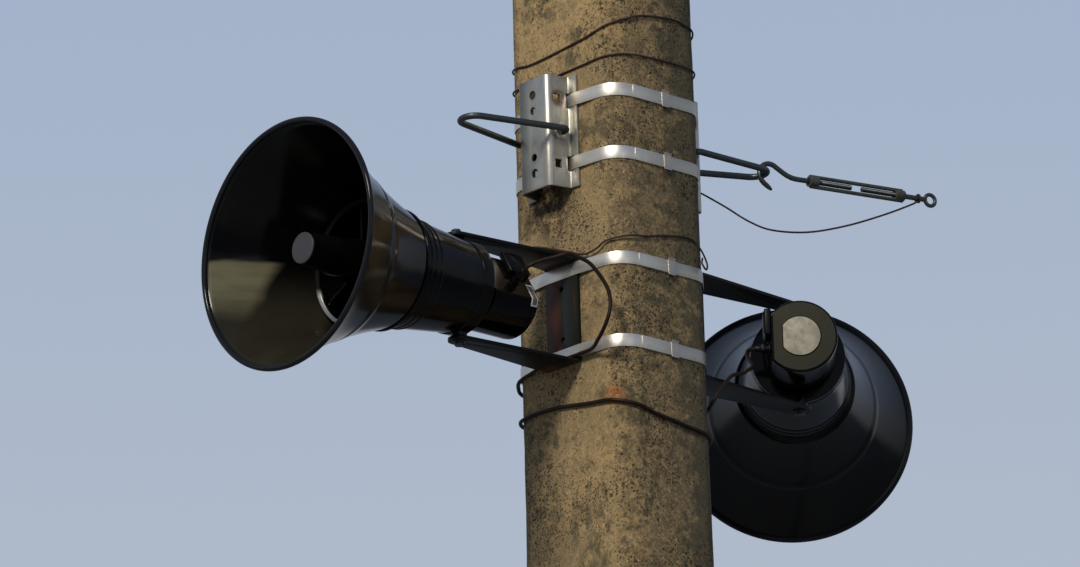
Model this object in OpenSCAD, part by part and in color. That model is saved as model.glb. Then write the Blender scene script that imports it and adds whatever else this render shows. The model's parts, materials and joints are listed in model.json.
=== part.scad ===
/* [Pole] */
// Height of the pole above the ground
pole_height = 8500; // [7500:100:10000]
// Width of the pole at the ground, across the horns
pole_base_width = 300; // [280:5:360]
// Width of the pole at its top
pole_top_width = 220; // [205:5:260]
// Depth of the pole at the ground, between the two yokes
pole_base_depth = 230; // [215:5:280]
// Depth of the pole at its top
pole_top_depth = 175; // [165:5:220]
// Radius of the pole's four cast corners
pole_corner = 38; // [30:1:42]
// Bevel round the pole's top edge
pole_top_bevel = 8; // [4:1:14]

/* [Horns] */
// Height of the horns' axes above the ground
horn_level = 5900; // [5400:50:6000]
// Diameter over the rolled rim of the horn's mouth
mouth_diameter = 380; // [370:5:400]
// Distance from the mouth back to the bell's seam with the cast body
bell_length = 198; // [190:2:210]
// Distance from the mouth back to the yoke's pivots
mouth_to_pivot = 340; // [335:1:360]
// Thickness of the spun bell
bell_wall = 2; // [1.5:0.5:3]
// Thickness of the cast body's wall
body_wall = 3; // [2.5:0.5:4]
// Rod size of the rim's bead
bead_diameter = 9; // [7:0.5:11]
// Radius of the driver housing
driver_radius = 57; // [54:1:60]
// Distance from the pivots back to the driver's rear face
driver_reach = 113; // [105:1:120]
// Direction that the left horn faces, seen from above
left_aim = 180; // [170:5:190]
// Direction that the right horn faces, seen from above
right_aim = 48; // [40:1:60]
// Roll of the left horn's driver about its axis
left_roll = 30; // [20:5:40]

/* [Yokes] */
// Width of the yoke's web on the pole
yoke_width = 70; // [60:2:76]
// Thickness of the yoke's flat bar
yoke_bar = 5; // [4:0.5:6]
// Height inside the yoke, between its arms
yoke_inside = 157; // [153:1:175]
// Distance from the pole's axis to the left yoke's pivots
pivot_reach = 312; // [305:1:335]
// Distance from the pole's axis to the right yoke's pivots
right_pivot_reach = 330; // [318:1:340]
// Diameter of the pivot bolts
pivot_bolt = 8; // [6:1:10]
// Sideways offset of the right yoke, towards the leads
right_yoke_offset = -60; // [-62:1:-50]

/* [Bands] */
// Width of the stainless bands
band_width = 20; // [16:1:22]
// Thickness of the stainless bands
band_gauge = 1; // [0.8:0.1:1.2]
// Space between each horn band and the yoke's arm beside it
horn_band_space = 3.5; // [3:0.5:12]

/* [Pole brackets] */
// Height of the two pole brackets' centres above the ground
bracket_level = 6182; // [6170:1:6300]
// Height of a pole bracket
bracket_height = 176; // [160:2:190]
// Thickness of the brackets' galvanised plate
bracket_plate = 4; // [3:0.5:5]
// Stand-off of a bracket's front from the pole
bracket_stand_off = 42; // [38:1:50]
// Width over a bracket's two flanges
bracket_width = 112; // [108:1:116]
// Sideways offset of the left bracket
left_bracket_offset = 12; // [-10:1:14]
// Sideways offset of the right bracket
right_bracket_offset = -32; // [-32:1:0]

/* [Bails and turnbuckle] */
// Rod size of the bails
bail_rod = 10; // [8:0.5:11]
// Reach of a bail from its bracket holes to its tip
bail_reach = 160; // [140:5:180]
// Direction that the left bail is pulled, away from square
left_pull = 3; // [0:1:6]
// Direction that the right bail is pulled, away from square
right_pull = -13; // [-16:1:-8]
// Rod size of the hook and the eye bolt
hook_rod = 8; // [7:0.5:9]
// Length of the turnbuckle's open body
turnbuckle_body_length = 170; // [150:5:190]

/* [Leads] */
// Diameter of the horns' leads
lead_diameter = 6; // [5:0.5:7]
// Diameter of the tie and bond wires
wire_diameter = 3; // [2.5:0.5:4]

/* [Hidden] */
$fn = 96;

// Clearance between pieces that lie on each other
gap = 0.3;
// Depth of the thin slabs that the pole is drawn between
slab = 0.01;

// The pole at a height, from its axis to its faces
function half_depth(z) = (pole_base_depth + (pole_top_depth - pole_base_depth) * z / pole_height) / 2;
function half_width(z) = (pole_base_width + (pole_top_width - pole_base_width) * z / pole_height) / 2;

// Turning of a point about the vertical, and the direction at an angle
function turned(p, a) = [p[0] * cos(a) - p[1] * sin(a), p[0] * sin(a) + p[1] * cos(a), p[2]];
function direction(a) = [cos(a), sin(a)];
function unit(v) = v / norm(v);
function bearing(v) = atan2(v[1], v[0]);
function backwards(p) = [for (i = [len(p) - 1:-1:0]) p[i]];

// Arc of steps from one angle to another
function arc(centre, r, from, to, steps) =
    [for (i = [0:steps]) centre + r * direction(from + (to - from) * i / steps)];

// Rounded corner of a path of flat bar, at point b between a and c
function rounded(a, b, c, r, steps) =
    let (
        u = unit(a - b),
        v = unit(c - b),
        half = acos(u * v) / 2,
        centre = b + unit(u + v) * r / sin(half),
        from = bearing(b + u * r / tan(half) - centre),
        to = bearing(b + v * r / tan(half) - centre),
        sweep = (to - from + 540) % 360 - 180
    )
    arc(centre, r, from, from + sweep, steps);

// Both sides of a bar of thickness t along a path
function path_normal(p, i) =
    let (
        before = i == 0 ? unit(p[1] - p[0]) : unit(p[i] - p[i - 1]),
        after = i == len(p) - 1 ? before : unit(p[i + 1] - p[i]),
        n = [-before[1], before[0]],
        m = [-after[1], after[0]]
    )
    (n + m) / (1 + n * m);
function bar_outline(p, t) = concat(
    [for (i = [0:len(p) - 1]) p[i] + path_normal(p, i) * t / 2],
    backwards([for (i = [0:len(p) - 1]) p[i] - path_normal(p, i) * t / 2])
);

module rounded_rectangle(half_x, half_y, r) {
    square([2 * half_x, 2 * (half_y - r)], center = true);
    square([2 * (half_x - r), 2 * half_y], center = true);
    for (x = [-1, 1], y = [-1, 1])
        translate([x * (half_x - r), y * (half_y - r)])
            circle(r);
}

module rod(a, b, d) {
    v = b - a;
    translate(a)
        rotate([0, acos(v[2] / norm(v)), bearing(v)])
            cylinder(h = norm(v), d = d);
}

// Tubes and bent rods: swept along points, a lead's route smoothed between its own points
function smooth_point(a, b, c, d, t) =
    ((2 * b) + (c - a) * t + (2 * a - 5 * b + 4 * c - d) * t * t + (3 * b - a - 3 * c + d) * t * t * t) / 2;
function smooth(p, steps) = concat(
    [for (i = [0:len(p) - 2], s = [0:steps - 1])
        smooth_point(
            i == 0 ? 2 * p[0] - p[1] : p[i - 1],
            p[i],
            p[i + 1],
            i == len(p) - 2 ? 2 * p[i + 1] - p[i] : p[i + 2],
            s / steps
        )],
    [p[len(p) - 1]]
);
function tangent(p, i) =
    i == 0 ? unit(p[1] - p[0])
    : i == len(p) - 1 ? unit(p[i] - p[i - 1])
    : unit(unit(p[i + 1] - p[i]) + unit(p[i] - p[i - 1]));
function square_to(v, t) = unit(v - (v * t) * t);
function carried_normals(p, start) = [
    for (i = 0, n = square_to(start, tangent(p, 0));
        i < len(p);
        i = i + 1, n = i < len(p) ? square_to(n, tangent(p, i)) : n) n
];

module tube(p, d, sides, start = [0.1, 0.2, 1]) {
    normals = carried_normals(p, start);
    points = [for (i = [0:len(p) - 1], s = [0:sides - 1])
        let (a = 360 * s / sides, n = normals[i], b = cross(tangent(p, i), n))
        p[i] + d / 2 * (cos(a) * n + sin(a) * b)];
    last = (len(p) - 1) * sides;
    faces = concat(
        [[for (s = [0:sides - 1]) s]],
        [[for (s = [sides - 1:-1:0]) last + s]],
        [for (i = [0:len(p) - 2], s = [0:sides - 1])
            let (a = i * sides + s, b = i * sides + (s + 1) % sides)
            [a, a + sides, b + sides, b]]
    );
    polyhedron(points, faces, convexity = 10);
}

// Pole: cast concrete, rectangular with round corners, tapering to its top
module pole_slab(z, inset) {
    translate([0, 0, z])
        linear_extrude(slab)
            rounded_rectangle(half_depth(z) - inset, half_width(z) - inset, pole_corner - inset, $fn = 64);
}

module pole() {
    color("#7a6f5b")
        hull() {
            pole_slab(0, 0);
            pole_slab(pole_height - pole_top_bevel, 0);
            pole_slab(pole_height - slab, pole_top_bevel);
        }
}

// Bands: the outline of a band at a distance g over what it clamps, its two corners and the rise between
corner_steps = 8;
function corner_centre(z, side, end) =
    [side * (half_depth(z) - pole_corner), end * (half_width(z) - pole_corner)];
function corner_angle(centre, edge, turn) =
    bearing(edge - centre) + turn * acos(pole_corner / norm(edge - centre));
function band_half(z, g, rise) =
    let (
        near = corner_centre(z, 1, -1),
        far = corner_centre(z, 1, 1),
        first = rise[0],
        last = rise[len(rise) - 1],
        near_angle = corner_angle(near, first, -1),
        far_angle = corner_angle(far, last, 1)
    )
    concat(
        arc(near, pole_corner + g, -90, near_angle, corner_steps),
        [first + g * direction(near_angle)],
        [for (p = rise) p + [g, 0]],
        [last + g * direction(far_angle)],
        arc(far, pole_corner + g, far_angle, 90, corner_steps)
    );
function band_outline(z, g, left_rise, right_rise) = concat(
    band_half(z, g, right_rise),
    [for (p = backwards(band_half(z, g, left_rise))) [-p[0], p[1]]]
);
function web_rise(offset) = [
    [yoke_front, offset - yoke_width / 2],
    [yoke_front, offset + yoke_width / 2]
];
function flange_rise(z, offset) =
    let (front = bracket_back + bracket_plate)
    [
        [front, offset - bracket_width / 2],
        [front, offset - slot_outer],
        [half_depth(z), offset - slot_inner],
        [half_depth(z), offset + slot_inner],
        [front, offset + slot_outer],
        [front, offset + bracket_width / 2]
    ];

module band(level, left_rise, right_rise) {
    lowest = level - band_width / 2;
    color("#c9cbcc")
        translate([0, 0, lowest])
            linear_extrude(band_width)
                difference() {
                    polygon(band_outline(lowest, gap + band_gauge, left_rise, right_rise));
                    polygon(band_outline(lowest, gap, left_rise, right_rise));
                }
}

module horn_band(level) {
    band(level, web_rise(0), web_rise(right_yoke_offset));
}

module bracket_band(level) {
    z = level - band_width / 2;
    band(level, flange_rise(z, left_bracket_offset), flange_rise(z, right_bracket_offset));
}

// Levels of the four bands, and the flat bar and plate that they clamp
horn_band_rise = yoke_inside / 2 - horn_band_space - band_width / 2;
horn_band_levels = [horn_level - horn_band_rise, horn_level + horn_band_rise];
strap_rise = bracket_height / 2 - 38;
bracket_band_levels = [bracket_level - strap_rise, bracket_level + strap_rise];
arm_middle = (yoke_inside + yoke_bar) / 2;
yoke_back = half_depth(horn_level - arm_middle - yoke_bar / 2) + gap;
yoke_front = yoke_back + yoke_bar;
bracket_back = half_depth(bracket_level - bracket_height / 2) + gap;

// Slots for the straps at the feet of a bracket's walls
slot_inner = 30;
slot_outer = 47;
slot_depth = 9;
slot_clearance = 2;

module horn_band_lower() {
    horn_band(horn_band_levels[0]);
}

module horn_band_upper() {
    horn_band(horn_band_levels[1]);
}

module bracket_band_lower() {
    bracket_band(bracket_band_levels[0]);
}

module bracket_band_upper() {
    bracket_band(bracket_band_levels[1]);
}

// Buckles: the band's doubled tail on the near face, held by a folded clip
tail_start = -56;
tail_end = 23;
clip_length = 14;
clip_gauge = 1.8;
clip_lip = 1.5;

module band_buckle(level) {
    lowest = level - band_width / 2;
    skin = half_width(lowest) + gap + band_gauge;
    clip_middle = tail_end - clip_length;
    half_clip = band_width / 2 + clip_lip;
    end_rise = half_clip + clip_gauge / 2;
    translate([0, -skin, level]) {
        translate([tail_start, -gap / 2 - band_gauge, -band_width / 2])
            cube([tail_end - tail_start, band_gauge, band_width]);
        translate([clip_middle - clip_length / 2, -gap / 2 - band_gauge - clip_gauge, -half_clip])
            cube([clip_length, clip_gauge, 2 * half_clip]);
        for (side = [-1, 1])
            translate([clip_middle, -clip_gauge / 2 - band_gauge - gap / 2, side * end_rise])
                cube([clip_length, clip_gauge + 2 * band_gauge, clip_gauge], center = true);
    }
}

module band_buckles() {
    color("#b9bbbb")
        for (level = concat(horn_band_levels, bracket_band_levels))
            band_buckle(level);
}

// Yokes: flat bar bent to a U, its web under the bands and its arms at the pivots
arm_tip_radius = 17;
// The arm's straight edges end just inside its round tip
tuck = 0.02;
bend_inside = 3;
pivot_hole = pivot_bolt + 0.8;
web_hole = 9;
web_hole_rise = 40;
yoke_half = arm_middle + yoke_bar / 2;

module yoke_channel(pivot) {
    reach = pivot + 2 * arm_tip_radius - yoke_back;
    difference() {
        translate([yoke_back, -yoke_half])
            square([reach, 2 * yoke_half]);
        translate([yoke_front + bend_inside, -yoke_inside / 2])
            square([reach, yoke_inside]);
        translate([yoke_front, bend_inside - yoke_inside / 2])
            square([reach, yoke_inside - 2 * bend_inside]);
        for (side = [-1, 1]) {
            translate([yoke_front + bend_inside, side * (yoke_inside / 2 - bend_inside)])
                circle(bend_inside);
            difference() {
                translate([yoke_back - 1, side < 0 ? -yoke_half - 1 : yoke_half - yoke_bar - bend_inside])
                    square([yoke_bar + bend_inside + 1, yoke_bar + bend_inside + 1]);
                translate([yoke_front + bend_inside, side * (yoke_inside / 2 - bend_inside)])
                    circle(bend_inside + yoke_bar);
            }
        }
    }
}

module yoke_plan(pivot) {
    root = yoke_front + bend_inside;
    v = [root - pivot, yoke_width / 2];
    touch = (arm_tip_radius - tuck) * direction(bearing(v) - acos(arm_tip_radius / norm(v)));
    translate([pivot, 0])
        circle(arm_tip_radius);
    polygon([
        [0, -yoke_width / 2],
        [root, -yoke_width / 2],
        [pivot + touch[0], -touch[1]],
        [pivot + touch[0], touch[1]],
        [root, yoke_width / 2],
        [0, yoke_width / 2]
    ]);
}

module yoke(offset, pivot) {
    translate([0, offset, horn_level])
        difference() {
            intersection() {
                translate([0, yoke_width / 2, 0])
                    rotate([90, 0, 0])
                        linear_extrude(yoke_width)
                            yoke_channel(pivot);
                translate([0, 0, -yoke_half])
                    linear_extrude(2 * yoke_half)
                        yoke_plan(pivot);
            }
            translate([pivot, 0, -yoke_half - 1])
                cylinder(h = 2 * yoke_half + 2, d = pivot_hole);
            for (z = [-web_hole_rise, web_hole_rise])
                translate([yoke_back - 1, 0, z])
                    rotate([0, 90, 0])
                        cylinder(h = yoke_bar + 2, d = web_hole);
        }
}

module yoke_left() {
    color("#23211f")
        mirror([1, 0, 0])
            yoke(0, pivot_reach);
}

module yoke_right() {
    color("#23211f")
        yoke(right_yoke_offset, right_pivot_reach);
}

// Pole brackets: a hat section with slots for the straps and holes for the bails
bail_hole = bail_rod + 1;
bail_stand_off = 16;
wall_foot = 37;
wall_head = 31;
foot_bend = 5;
head_bend = 7;
bend_steps = 5;
front_holes = [[37, 12], [62, 14]];
window = [12, 14];
window_rise = 52;
emboss = 30;
emboss_proud = 1.5;

module bracket_section() {
    foot = bracket_plate / 2;
    head = bracket_stand_off - bracket_plate / 2;
    edge = bracket_width / 2;
    a = [foot, edge];
    b = [foot, wall_foot];
    c = [head, wall_head];
    d = [head, -wall_head];
    e = [foot, -wall_foot];
    f = [foot, -edge];
    path = concat(
        [a],
        rounded(a, b, c, foot_bend, bend_steps),
        rounded(b, c, d, head_bend, bend_steps),
        rounded(c, d, e, head_bend, bend_steps),
        rounded(d, e, f, foot_bend, bend_steps),
        [f]
    );
    polygon(bar_outline(path, bracket_plate));
}

module across(x, z, d) {
    translate([x, 0, z])
        rotate([90, 0, 0])
            cylinder(h = 2 * bracket_width, d = d, center = true);
}

module pole_bracket() {
    wall_lean = atan((wall_foot - wall_head) / (bracket_stand_off - bracket_plate));
    wall_place = wall_foot - bail_stand_off * tan(wall_lean) + bracket_plate / 2;
    window_start = bracket_stand_off - bracket_plate - head_bend - window[0];
    difference() {
        union() {
            translate([0, 0, -bracket_height / 2])
                linear_extrude(bracket_height)
                    bracket_section();
            for (side = [-1, 1])
                translate([bail_stand_off, side * wall_place, 0])
                    rotate([-side * 90, 0, side * wall_lean])
                        translate([0, 0, -bracket_plate / 2])
                            cylinder(h = bracket_plate / 2 + emboss_proud, d1 = emboss + 2, d2 = emboss - 2);
        }
        across(bail_stand_off, 0, bail_hole);
        for (z = [-1, 1], hole = front_holes)
            translate([bracket_stand_off - 2 * bracket_plate, 0, z * hole[0]])
                rotate([0, 90, 0])
                    cylinder(h = 3 * bracket_plate, d = hole[1]);
        for (z = [-window_rise, window_rise])
            translate([window_start, -bracket_width, z - window[1] / 2])
                cube([window[0], 2 * bracket_width, window[1]]);
        for (z = [-strap_rise, strap_rise], side = [-1, 1])
            translate([-1, side > 0 ? slot_inner : -slot_outer, z - band_width / 2 - slot_clearance])
                cube([slot_depth + 1, slot_outer - slot_inner, band_width + 2 * slot_clearance]);
    }
}

module pole_bracket_left() {
    color("#9aa0a0")
        mirror([1, 0, 0])
            translate([bracket_back, left_bracket_offset, bracket_level])
                pole_bracket();
}

module pole_bracket_right() {
    color("#9aa0a0")
        translate([bracket_back, right_bracket_offset, bracket_level])
            pole_bracket();
}

// Bails: a rod loop whose ends turn in through the side holes, pulled to one direction
bail_tip_radius = 22;
bail_half = 52;
bail_stub = 25;
bail_foot_bend = 8;
rod_sides = 16;
bail_centre = bail_reach - bail_tip_radius;

module bail(pull) {
    tip = bail_centre * direction(pull);
    foot = [0, bail_half];
    normals = [for (side = [1, -1])
        let (v = side * foot - tip)
        direction(bearing(v) - side * acos(bail_tip_radius / norm(v)))];
    apex = tip + bail_tip_radius * (normals[0] + normals[1]) / (1 + normals[0] * normals[1]);
    stub = [0, bail_half - bail_stub];
    path = concat(
        [stub],
        rounded(stub, foot, apex, bail_foot_bend, 4),
        rounded(foot, apex, -foot, bail_tip_radius, 14),
        rounded(apex, -foot, -stub, bail_foot_bend, 4),
        [-stub]
    );
    tube([for (p = path) [p[0], p[1], 0]], bail_rod, rod_sides);
}

module bail_left() {
    color("#8c908b")
        mirror([1, 0, 0])
            translate([bracket_back + bail_stand_off, left_bracket_offset, bracket_level])
                bail(left_pull);
}

module bail_right() {
    color("#8c908b")
        translate([bracket_back + bail_stand_off, right_bracket_offset, bracket_level])
            bail(right_pull);
}

// Turnbuckle: a hook round the right bail's tip, an open body and an eye bolt, in the line of pull
hook_bowl = 18;
hook_open = -60;
hook_close = 60;
shank_turn = 30;
hook_centre = bail_reach - bail_rod / 2 - gap - hook_rod / 2 + hook_bowl;
body_start = 238;
body_end = body_start + turnbuckle_body_length;
boss_diameter = 17;
boss_length = 16;
rail_diameter = 6;
rail_rise = 8;
thread_clearance = 0.6;
shank_inside = 40;
eye_bowl = 9;
eye_reach = 48;

module in_line_of_pull() {
    translate([bracket_back + bail_stand_off, right_bracket_offset, bracket_level])
        rotate([0, 0, right_pull])
            children();
}

module turnbuckle_hook() {
    top = [hook_centre + hook_bowl * cos(hook_close), hook_bowl * sin(hook_close)];
    bend_drop = hook_bowl * (1 - cos(shank_turn));
    slope = (top[1] - bend_drop) / sin(shank_turn);
    low = top + slope * [cos(shank_turn), -sin(shank_turn)];
    level = low[0] + hook_bowl * sin(shank_turn);
    path = concat(
        arc([hook_centre, 0], hook_bowl, 360 + hook_open, hook_close, 20),
        arc([level, hook_bowl], hook_bowl, 270 - shank_turn, 270, 4),
        [[body_start + shank_inside, 0]]
    );
    color("#8c908b")
        in_line_of_pull()
            tube([for (p = path) [p[0], 0, p[1]]], hook_rod, rod_sides, start = [0, 1, 0]);
}

module turnbuckle_body() {
    color("#84887f")
        in_line_of_pull()
            difference() {
                union() {
                    for (x = [body_start, body_end - boss_length])
                        rod([x, 0, 0], [x + boss_length, 0, 0], boss_diameter);
                    for (z = [-rail_rise, rail_rise])
                        rod([body_start + 2, 0, z], [body_end - 2, 0, z], rail_diameter);
                }
                rod([body_start - 1, 0, 0], [body_end + 1, 0, 0], hook_rod + thread_clearance);
            }
}

module turnbuckle_eye() {
    eye = body_end + eye_reach;
    color("#8c908b")
        in_line_of_pull() {
            rod([body_end - shank_inside, 0, 0], [eye - eye_bowl, 0, 0], hook_rod);
            translate([eye, 0, 0])
                rotate([90, 0, 0])
                    rotate_extrude()
                        translate([eye_bowl, 0])
                            circle(d = rail_diameter);
        }
}

// Horns: each is drawn with its pivots at the origin and its mouth along +X
module left_horn_place() {
    translate([-pivot_reach, 0, horn_level])
        rotate([0, 0, left_aim])
            children();
}

module right_horn_place() {
    translate([right_pivot_reach, right_yoke_offset, horn_level])
        rotate([0, 0, right_aim])
            children();
}

// A revolved piece, its profile given as radius and distance back from the mouth
module revolved() {
    rotate([0, 90, 0])
        rotate_extrude()
            children();
}
function station(r, back) = [r, mouth_to_pivot - back];

// Bell: an exponential flare from the seam to the rolled rim
flare_rate = 0.87;
throat_radius = 84;
throat_run = 23;
throat_back = bell_length + throat_run;
flare_steps = 18;
rim_radius = mouth_diameter / 2;
function flare(back) = throat_radius + (rim_radius - bead_diameter / 4 - throat_radius)
    * (exp(flare_rate * (1 - back / throat_back)) - 1) / (exp(flare_rate) - 1);

module bell() {
    start = bead_diameter / 2;
    backs = [for (i = [0:flare_steps]) start + (bell_length - start) * i / flare_steps];
    color("#141517")
        revolved() {
            polygon(concat(
                [for (b = backs) station(flare(b) - bell_wall, b)],
                backwards([for (b = backs) station(flare(b), b)])
            ));
            translate(station(rim_radius - bead_diameter / 2, start))
                circle(d = bead_diameter);
        }
}

// Throat ring: the bright front rim of the body's inner skirt
skirt_front = bell_length - 49;
skirt_spread = 11;
skirt_radius = throat_radius + skirt_spread;
ring_proud = 2;
ring_length = 6;

module throat_ring() {
    color("#b5b2aa")
        revolved()
            polygon([
                station(skirt_radius - body_wall, skirt_front),
                station(skirt_radius - body_wall, skirt_front - ring_length + 1),
                station(skirt_radius - body_wall + 1, skirt_front - ring_length),
                station(skirt_radius + ring_proud - 1, skirt_front - ring_length),
                station(skirt_radius + ring_proud, skirt_front - ring_length + 1),
                station(skirt_radius + ring_proud, skirt_front)
            ]);
}

// Body: the casting behind the bell, with its skirt, ridges, rear flange and pivot lugs
seam_step = 9;
seam_radius = throat_radius + seam_step;
seam_lip = 6;
skirt_rear_radius = throat_radius + bell_wall;
body_middle_back = bell_length + 92;
body_middle_radius = 75;
flange_half = 10;
flange_back = mouth_to_pivot - flange_half;
flange_end = mouth_to_pivot + flange_half;
flange_radius = 72;
flange_step = 2;
body_rear_radius = flange_radius - flange_step;
rear_plate = 5;
rear_hole = 14;
ridge_backs = [17, 28, 39];
ridge_width = 3;
ridge_proud = 1.2;
ridge_foot = 1;
ridge_root = 2.3;
lug_radius = 12;
lug_clearance = 0.3;
lug_start = 60;
bolt_clearance = 0.3;
bolt_start = 66;

function body_radius(back) = back < body_middle_back
    ? throat_radius + (body_middle_radius - throat_radius)
        * (back - throat_back) / (body_middle_back - throat_back)
    : body_middle_radius + (body_rear_radius - body_middle_radius)
        * (back - body_middle_back) / (flange_back - body_middle_back);

module body_profile() {
    polygon([
        station(skirt_radius, skirt_front),
        station(skirt_rear_radius, bell_length),
        station(seam_radius, bell_length),
        station(seam_radius, bell_length + seam_lip - 2),
        station(seam_radius - 2, bell_length + seam_lip),
        station(throat_radius + 1, bell_length + seam_lip + 4),
        station(throat_radius, throat_back),
        station(body_middle_radius, body_middle_back),
        station(body_rear_radius, flange_back),
        station(flange_radius, flange_back),
        station(flange_radius, flange_end),
        station(rear_hole, flange_end),
        station(rear_hole, flange_end - rear_plate),
        station(body_rear_radius - body_wall, flange_end - rear_plate),
        station(body_rear_radius - body_wall, flange_back),
        station(body_middle_radius - body_wall, body_middle_back),
        station(throat_radius - body_wall, throat_back),
        station(skirt_rear_radius - body_wall, bell_length),
        station(skirt_radius - body_wall, skirt_front)
    ]);
    for (r = ridge_backs) {
        back = bell_length + r;
        front = back - ridge_width / 2;
        rear = back + ridge_width / 2;
        top = body_radius(back) + ridge_proud;
        foot = body_radius(back) - ridge_foot;
        root = body_radius(back) - ridge_root;
        polygon([
            station(root, front - ridge_foot),
            station(foot, front - ridge_foot),
            station(top, front),
            station(top, rear),
            station(foot, rear + ridge_foot),
            station(root, rear + ridge_foot)
        ]);
    }
}

module horn_body() {
    lug_end = yoke_inside / 2 - lug_clearance;
    color("#17181a")
        difference() {
            union() {
                revolved()
                    body_profile();
                for (side = [-1, 1])
                    translate([0, 0, side > 0 ? lug_start : -lug_end])
                        cylinder(h = lug_end - lug_start, r = lug_radius);
            }
            for (side = [-1, 1])
                translate([0, 0, side > 0 ? lug_start - 1 : -lug_end - 1])
                    cylinder(h = lug_end - lug_start + 2, d = pivot_bolt + 2 * bolt_clearance);
        }
}

// Pivot bolts: one through each arm, with a washer and a hexagon head
washer_radius = 10;
washer_gauge = 1.6;
head_radius = 7.5;
head_height = 5.5;

module pivot_bolts() {
    arm_top = yoke_half + gap;
    color("#55504a")
        for (side = [0, 180])
            rotate([side, 0, 0]) {
                translate([0, 0, bolt_start])
                    cylinder(h = arm_top + 1 - bolt_start, d = pivot_bolt);
                translate([0, 0, arm_top])
                    cylinder(h = washer_gauge, r = washer_radius);
                translate([0, 0, arm_top + washer_gauge / 2])
                    cylinder(h = washer_gauge / 2 + head_height, r = head_radius, $fn = 6);
            }
}

// Plug: the central reflector, its tail tube and the fins that hold it in the skirt
plug_front = bell_length - 161;
plug_front_radius = 23.6;
plug_rear_back = bell_length + 7;
plug_rear_radius = 40;
plug_tube_radius = 32;
plug_wall = 3;
plug_cap_gauge = 3;
fin_count = 3;
fin_gauge = 4;
fin_front = skirt_front + 1;
fin_rear = bell_length + 2;
function plug_radius(back) = plug_front_radius
    + (plug_rear_radius - plug_front_radius) * (back - plug_front) / (plug_rear_back - plug_front);
function fin_reach(back) = skirt_radius - body_wall - gap
    - (skirt_radius - skirt_rear_radius) * (back - skirt_front) / (bell_length - skirt_front);

module plug() {
    color("#141517") {
        revolved()
            polygon([
                station(plug_front_radius, plug_front),
                station(plug_rear_radius, plug_rear_back),
                station(plug_rear_radius, plug_rear_back + 20),
                station(plug_tube_radius, plug_rear_back + 30),
                station(plug_tube_radius, flange_end - rear_plate),
                station(plug_tube_radius - plug_wall, flange_end - rear_plate),
                station(plug_tube_radius - plug_wall, plug_rear_back + 30),
                station(plug_rear_radius - plug_wall, plug_rear_back + 20),
                station(plug_rear_radius - plug_wall, plug_rear_back),
                station(plug_front_radius - plug_wall, plug_front)
            ]);
        for (i = [0:fin_count - 1])
            rotate([90 + i * 360 / fin_count, 0, 0])
                translate([0, 0, -fin_gauge / 2])
                    linear_extrude(fin_gauge)
                        polygon([
                            [mouth_to_pivot - fin_front, plug_radius(fin_front) - plug_wall / 2],
                            [mouth_to_pivot - fin_front, fin_reach(fin_front)],
                            [mouth_to_pivot - bell_length, fin_reach(bell_length)],
                            [mouth_to_pivot - fin_rear, fin_reach(bell_length) - 2],
                            [mouth_to_pivot - fin_rear, plug_radius(fin_rear) - plug_wall / 2]
                        ]);
    }
}

module plug_cap() {
    color("#c8c4b4")
        revolved()
            polygon([
                station(0, plug_front),
                station(plug_front_radius, plug_front),
                station(plug_front_radius, plug_front - plug_cap_gauge + 1),
                station(plug_front_radius - 2, plug_front - plug_cap_gauge),
                station(0, plug_front - plug_cap_gauge)
            ]);
}

// Driver: a collar on the flange and a drum with a flat side and a round rear edge
collar_radius = 50;
collar_length = 14;
drum_front_edge = 3;
drum_rear_edge = 6;
flat_distance = 43;
plate_gauge = 2;
driver_rear = -driver_reach;
flange_rear = mouth_to_pivot - flange_end;

module drum_profile() {
    front = flange_rear - collar_length;
    inner = driver_radius - drum_rear_edge;
    polygon([
        [0, driver_rear],
        [inner, driver_rear],
        [inner, driver_rear + drum_rear_edge],
        [driver_radius, driver_rear + drum_rear_edge],
        [driver_radius, front - drum_front_edge],
        [driver_radius - drum_front_edge, front],
        [collar_radius, front],
        [collar_radius, flange_rear],
        [0, flange_rear]
    ]);
    translate([inner, driver_rear + drum_rear_edge])
        circle(drum_rear_edge);
}

module driver() {
    front = flange_rear - collar_length;
    color("#413e34")
        difference() {
            revolved()
                drum_profile();
            translate([driver_rear - 1, flat_distance, -driver_radius - 1])
                cube([front - driver_rear + 1, driver_radius, 2 * driver_radius + 2]);
        }
}

plate_radius = 32;
plate_cut = 27;

module driver_plate() {
    color("#4b473c")
        translate([driver_rear - plate_gauge, 0, 0])
            rotate([0, 90, 0])
                intersection() {
                    cylinder(h = plate_gauge, r = plate_radius);
                    translate([-plate_radius, -plate_radius, 0])
                        cube([2 * plate_radius, plate_radius + plate_cut, plate_gauge]);
                }
}

// Terminal cover and cable gland, on the drum's flat side
cover_size = [40, 12, 42];
cover_start = 3;
cover_low = 5;
cover_edge = 3;
gland_ahead = 35;
gland_level = -8;
gland_nut = 8;
gland_diameter = 14;
gland_end = 69;
gland_cone = 3;
gland_recess = 2;
recess_clearance = 1;

module terminal_cover() {
    color("#2b2a26")
        translate([driver_rear + cover_start, flat_distance, cover_low]) {
            cube([cover_size[0], cover_size[1] - cover_edge, cover_size[2]]);
            translate([cover_edge, 0, cover_edge])
                cube([cover_size[0] - 2 * cover_edge, cover_size[1], cover_size[2] - 2 * cover_edge]);
        }
}

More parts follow.
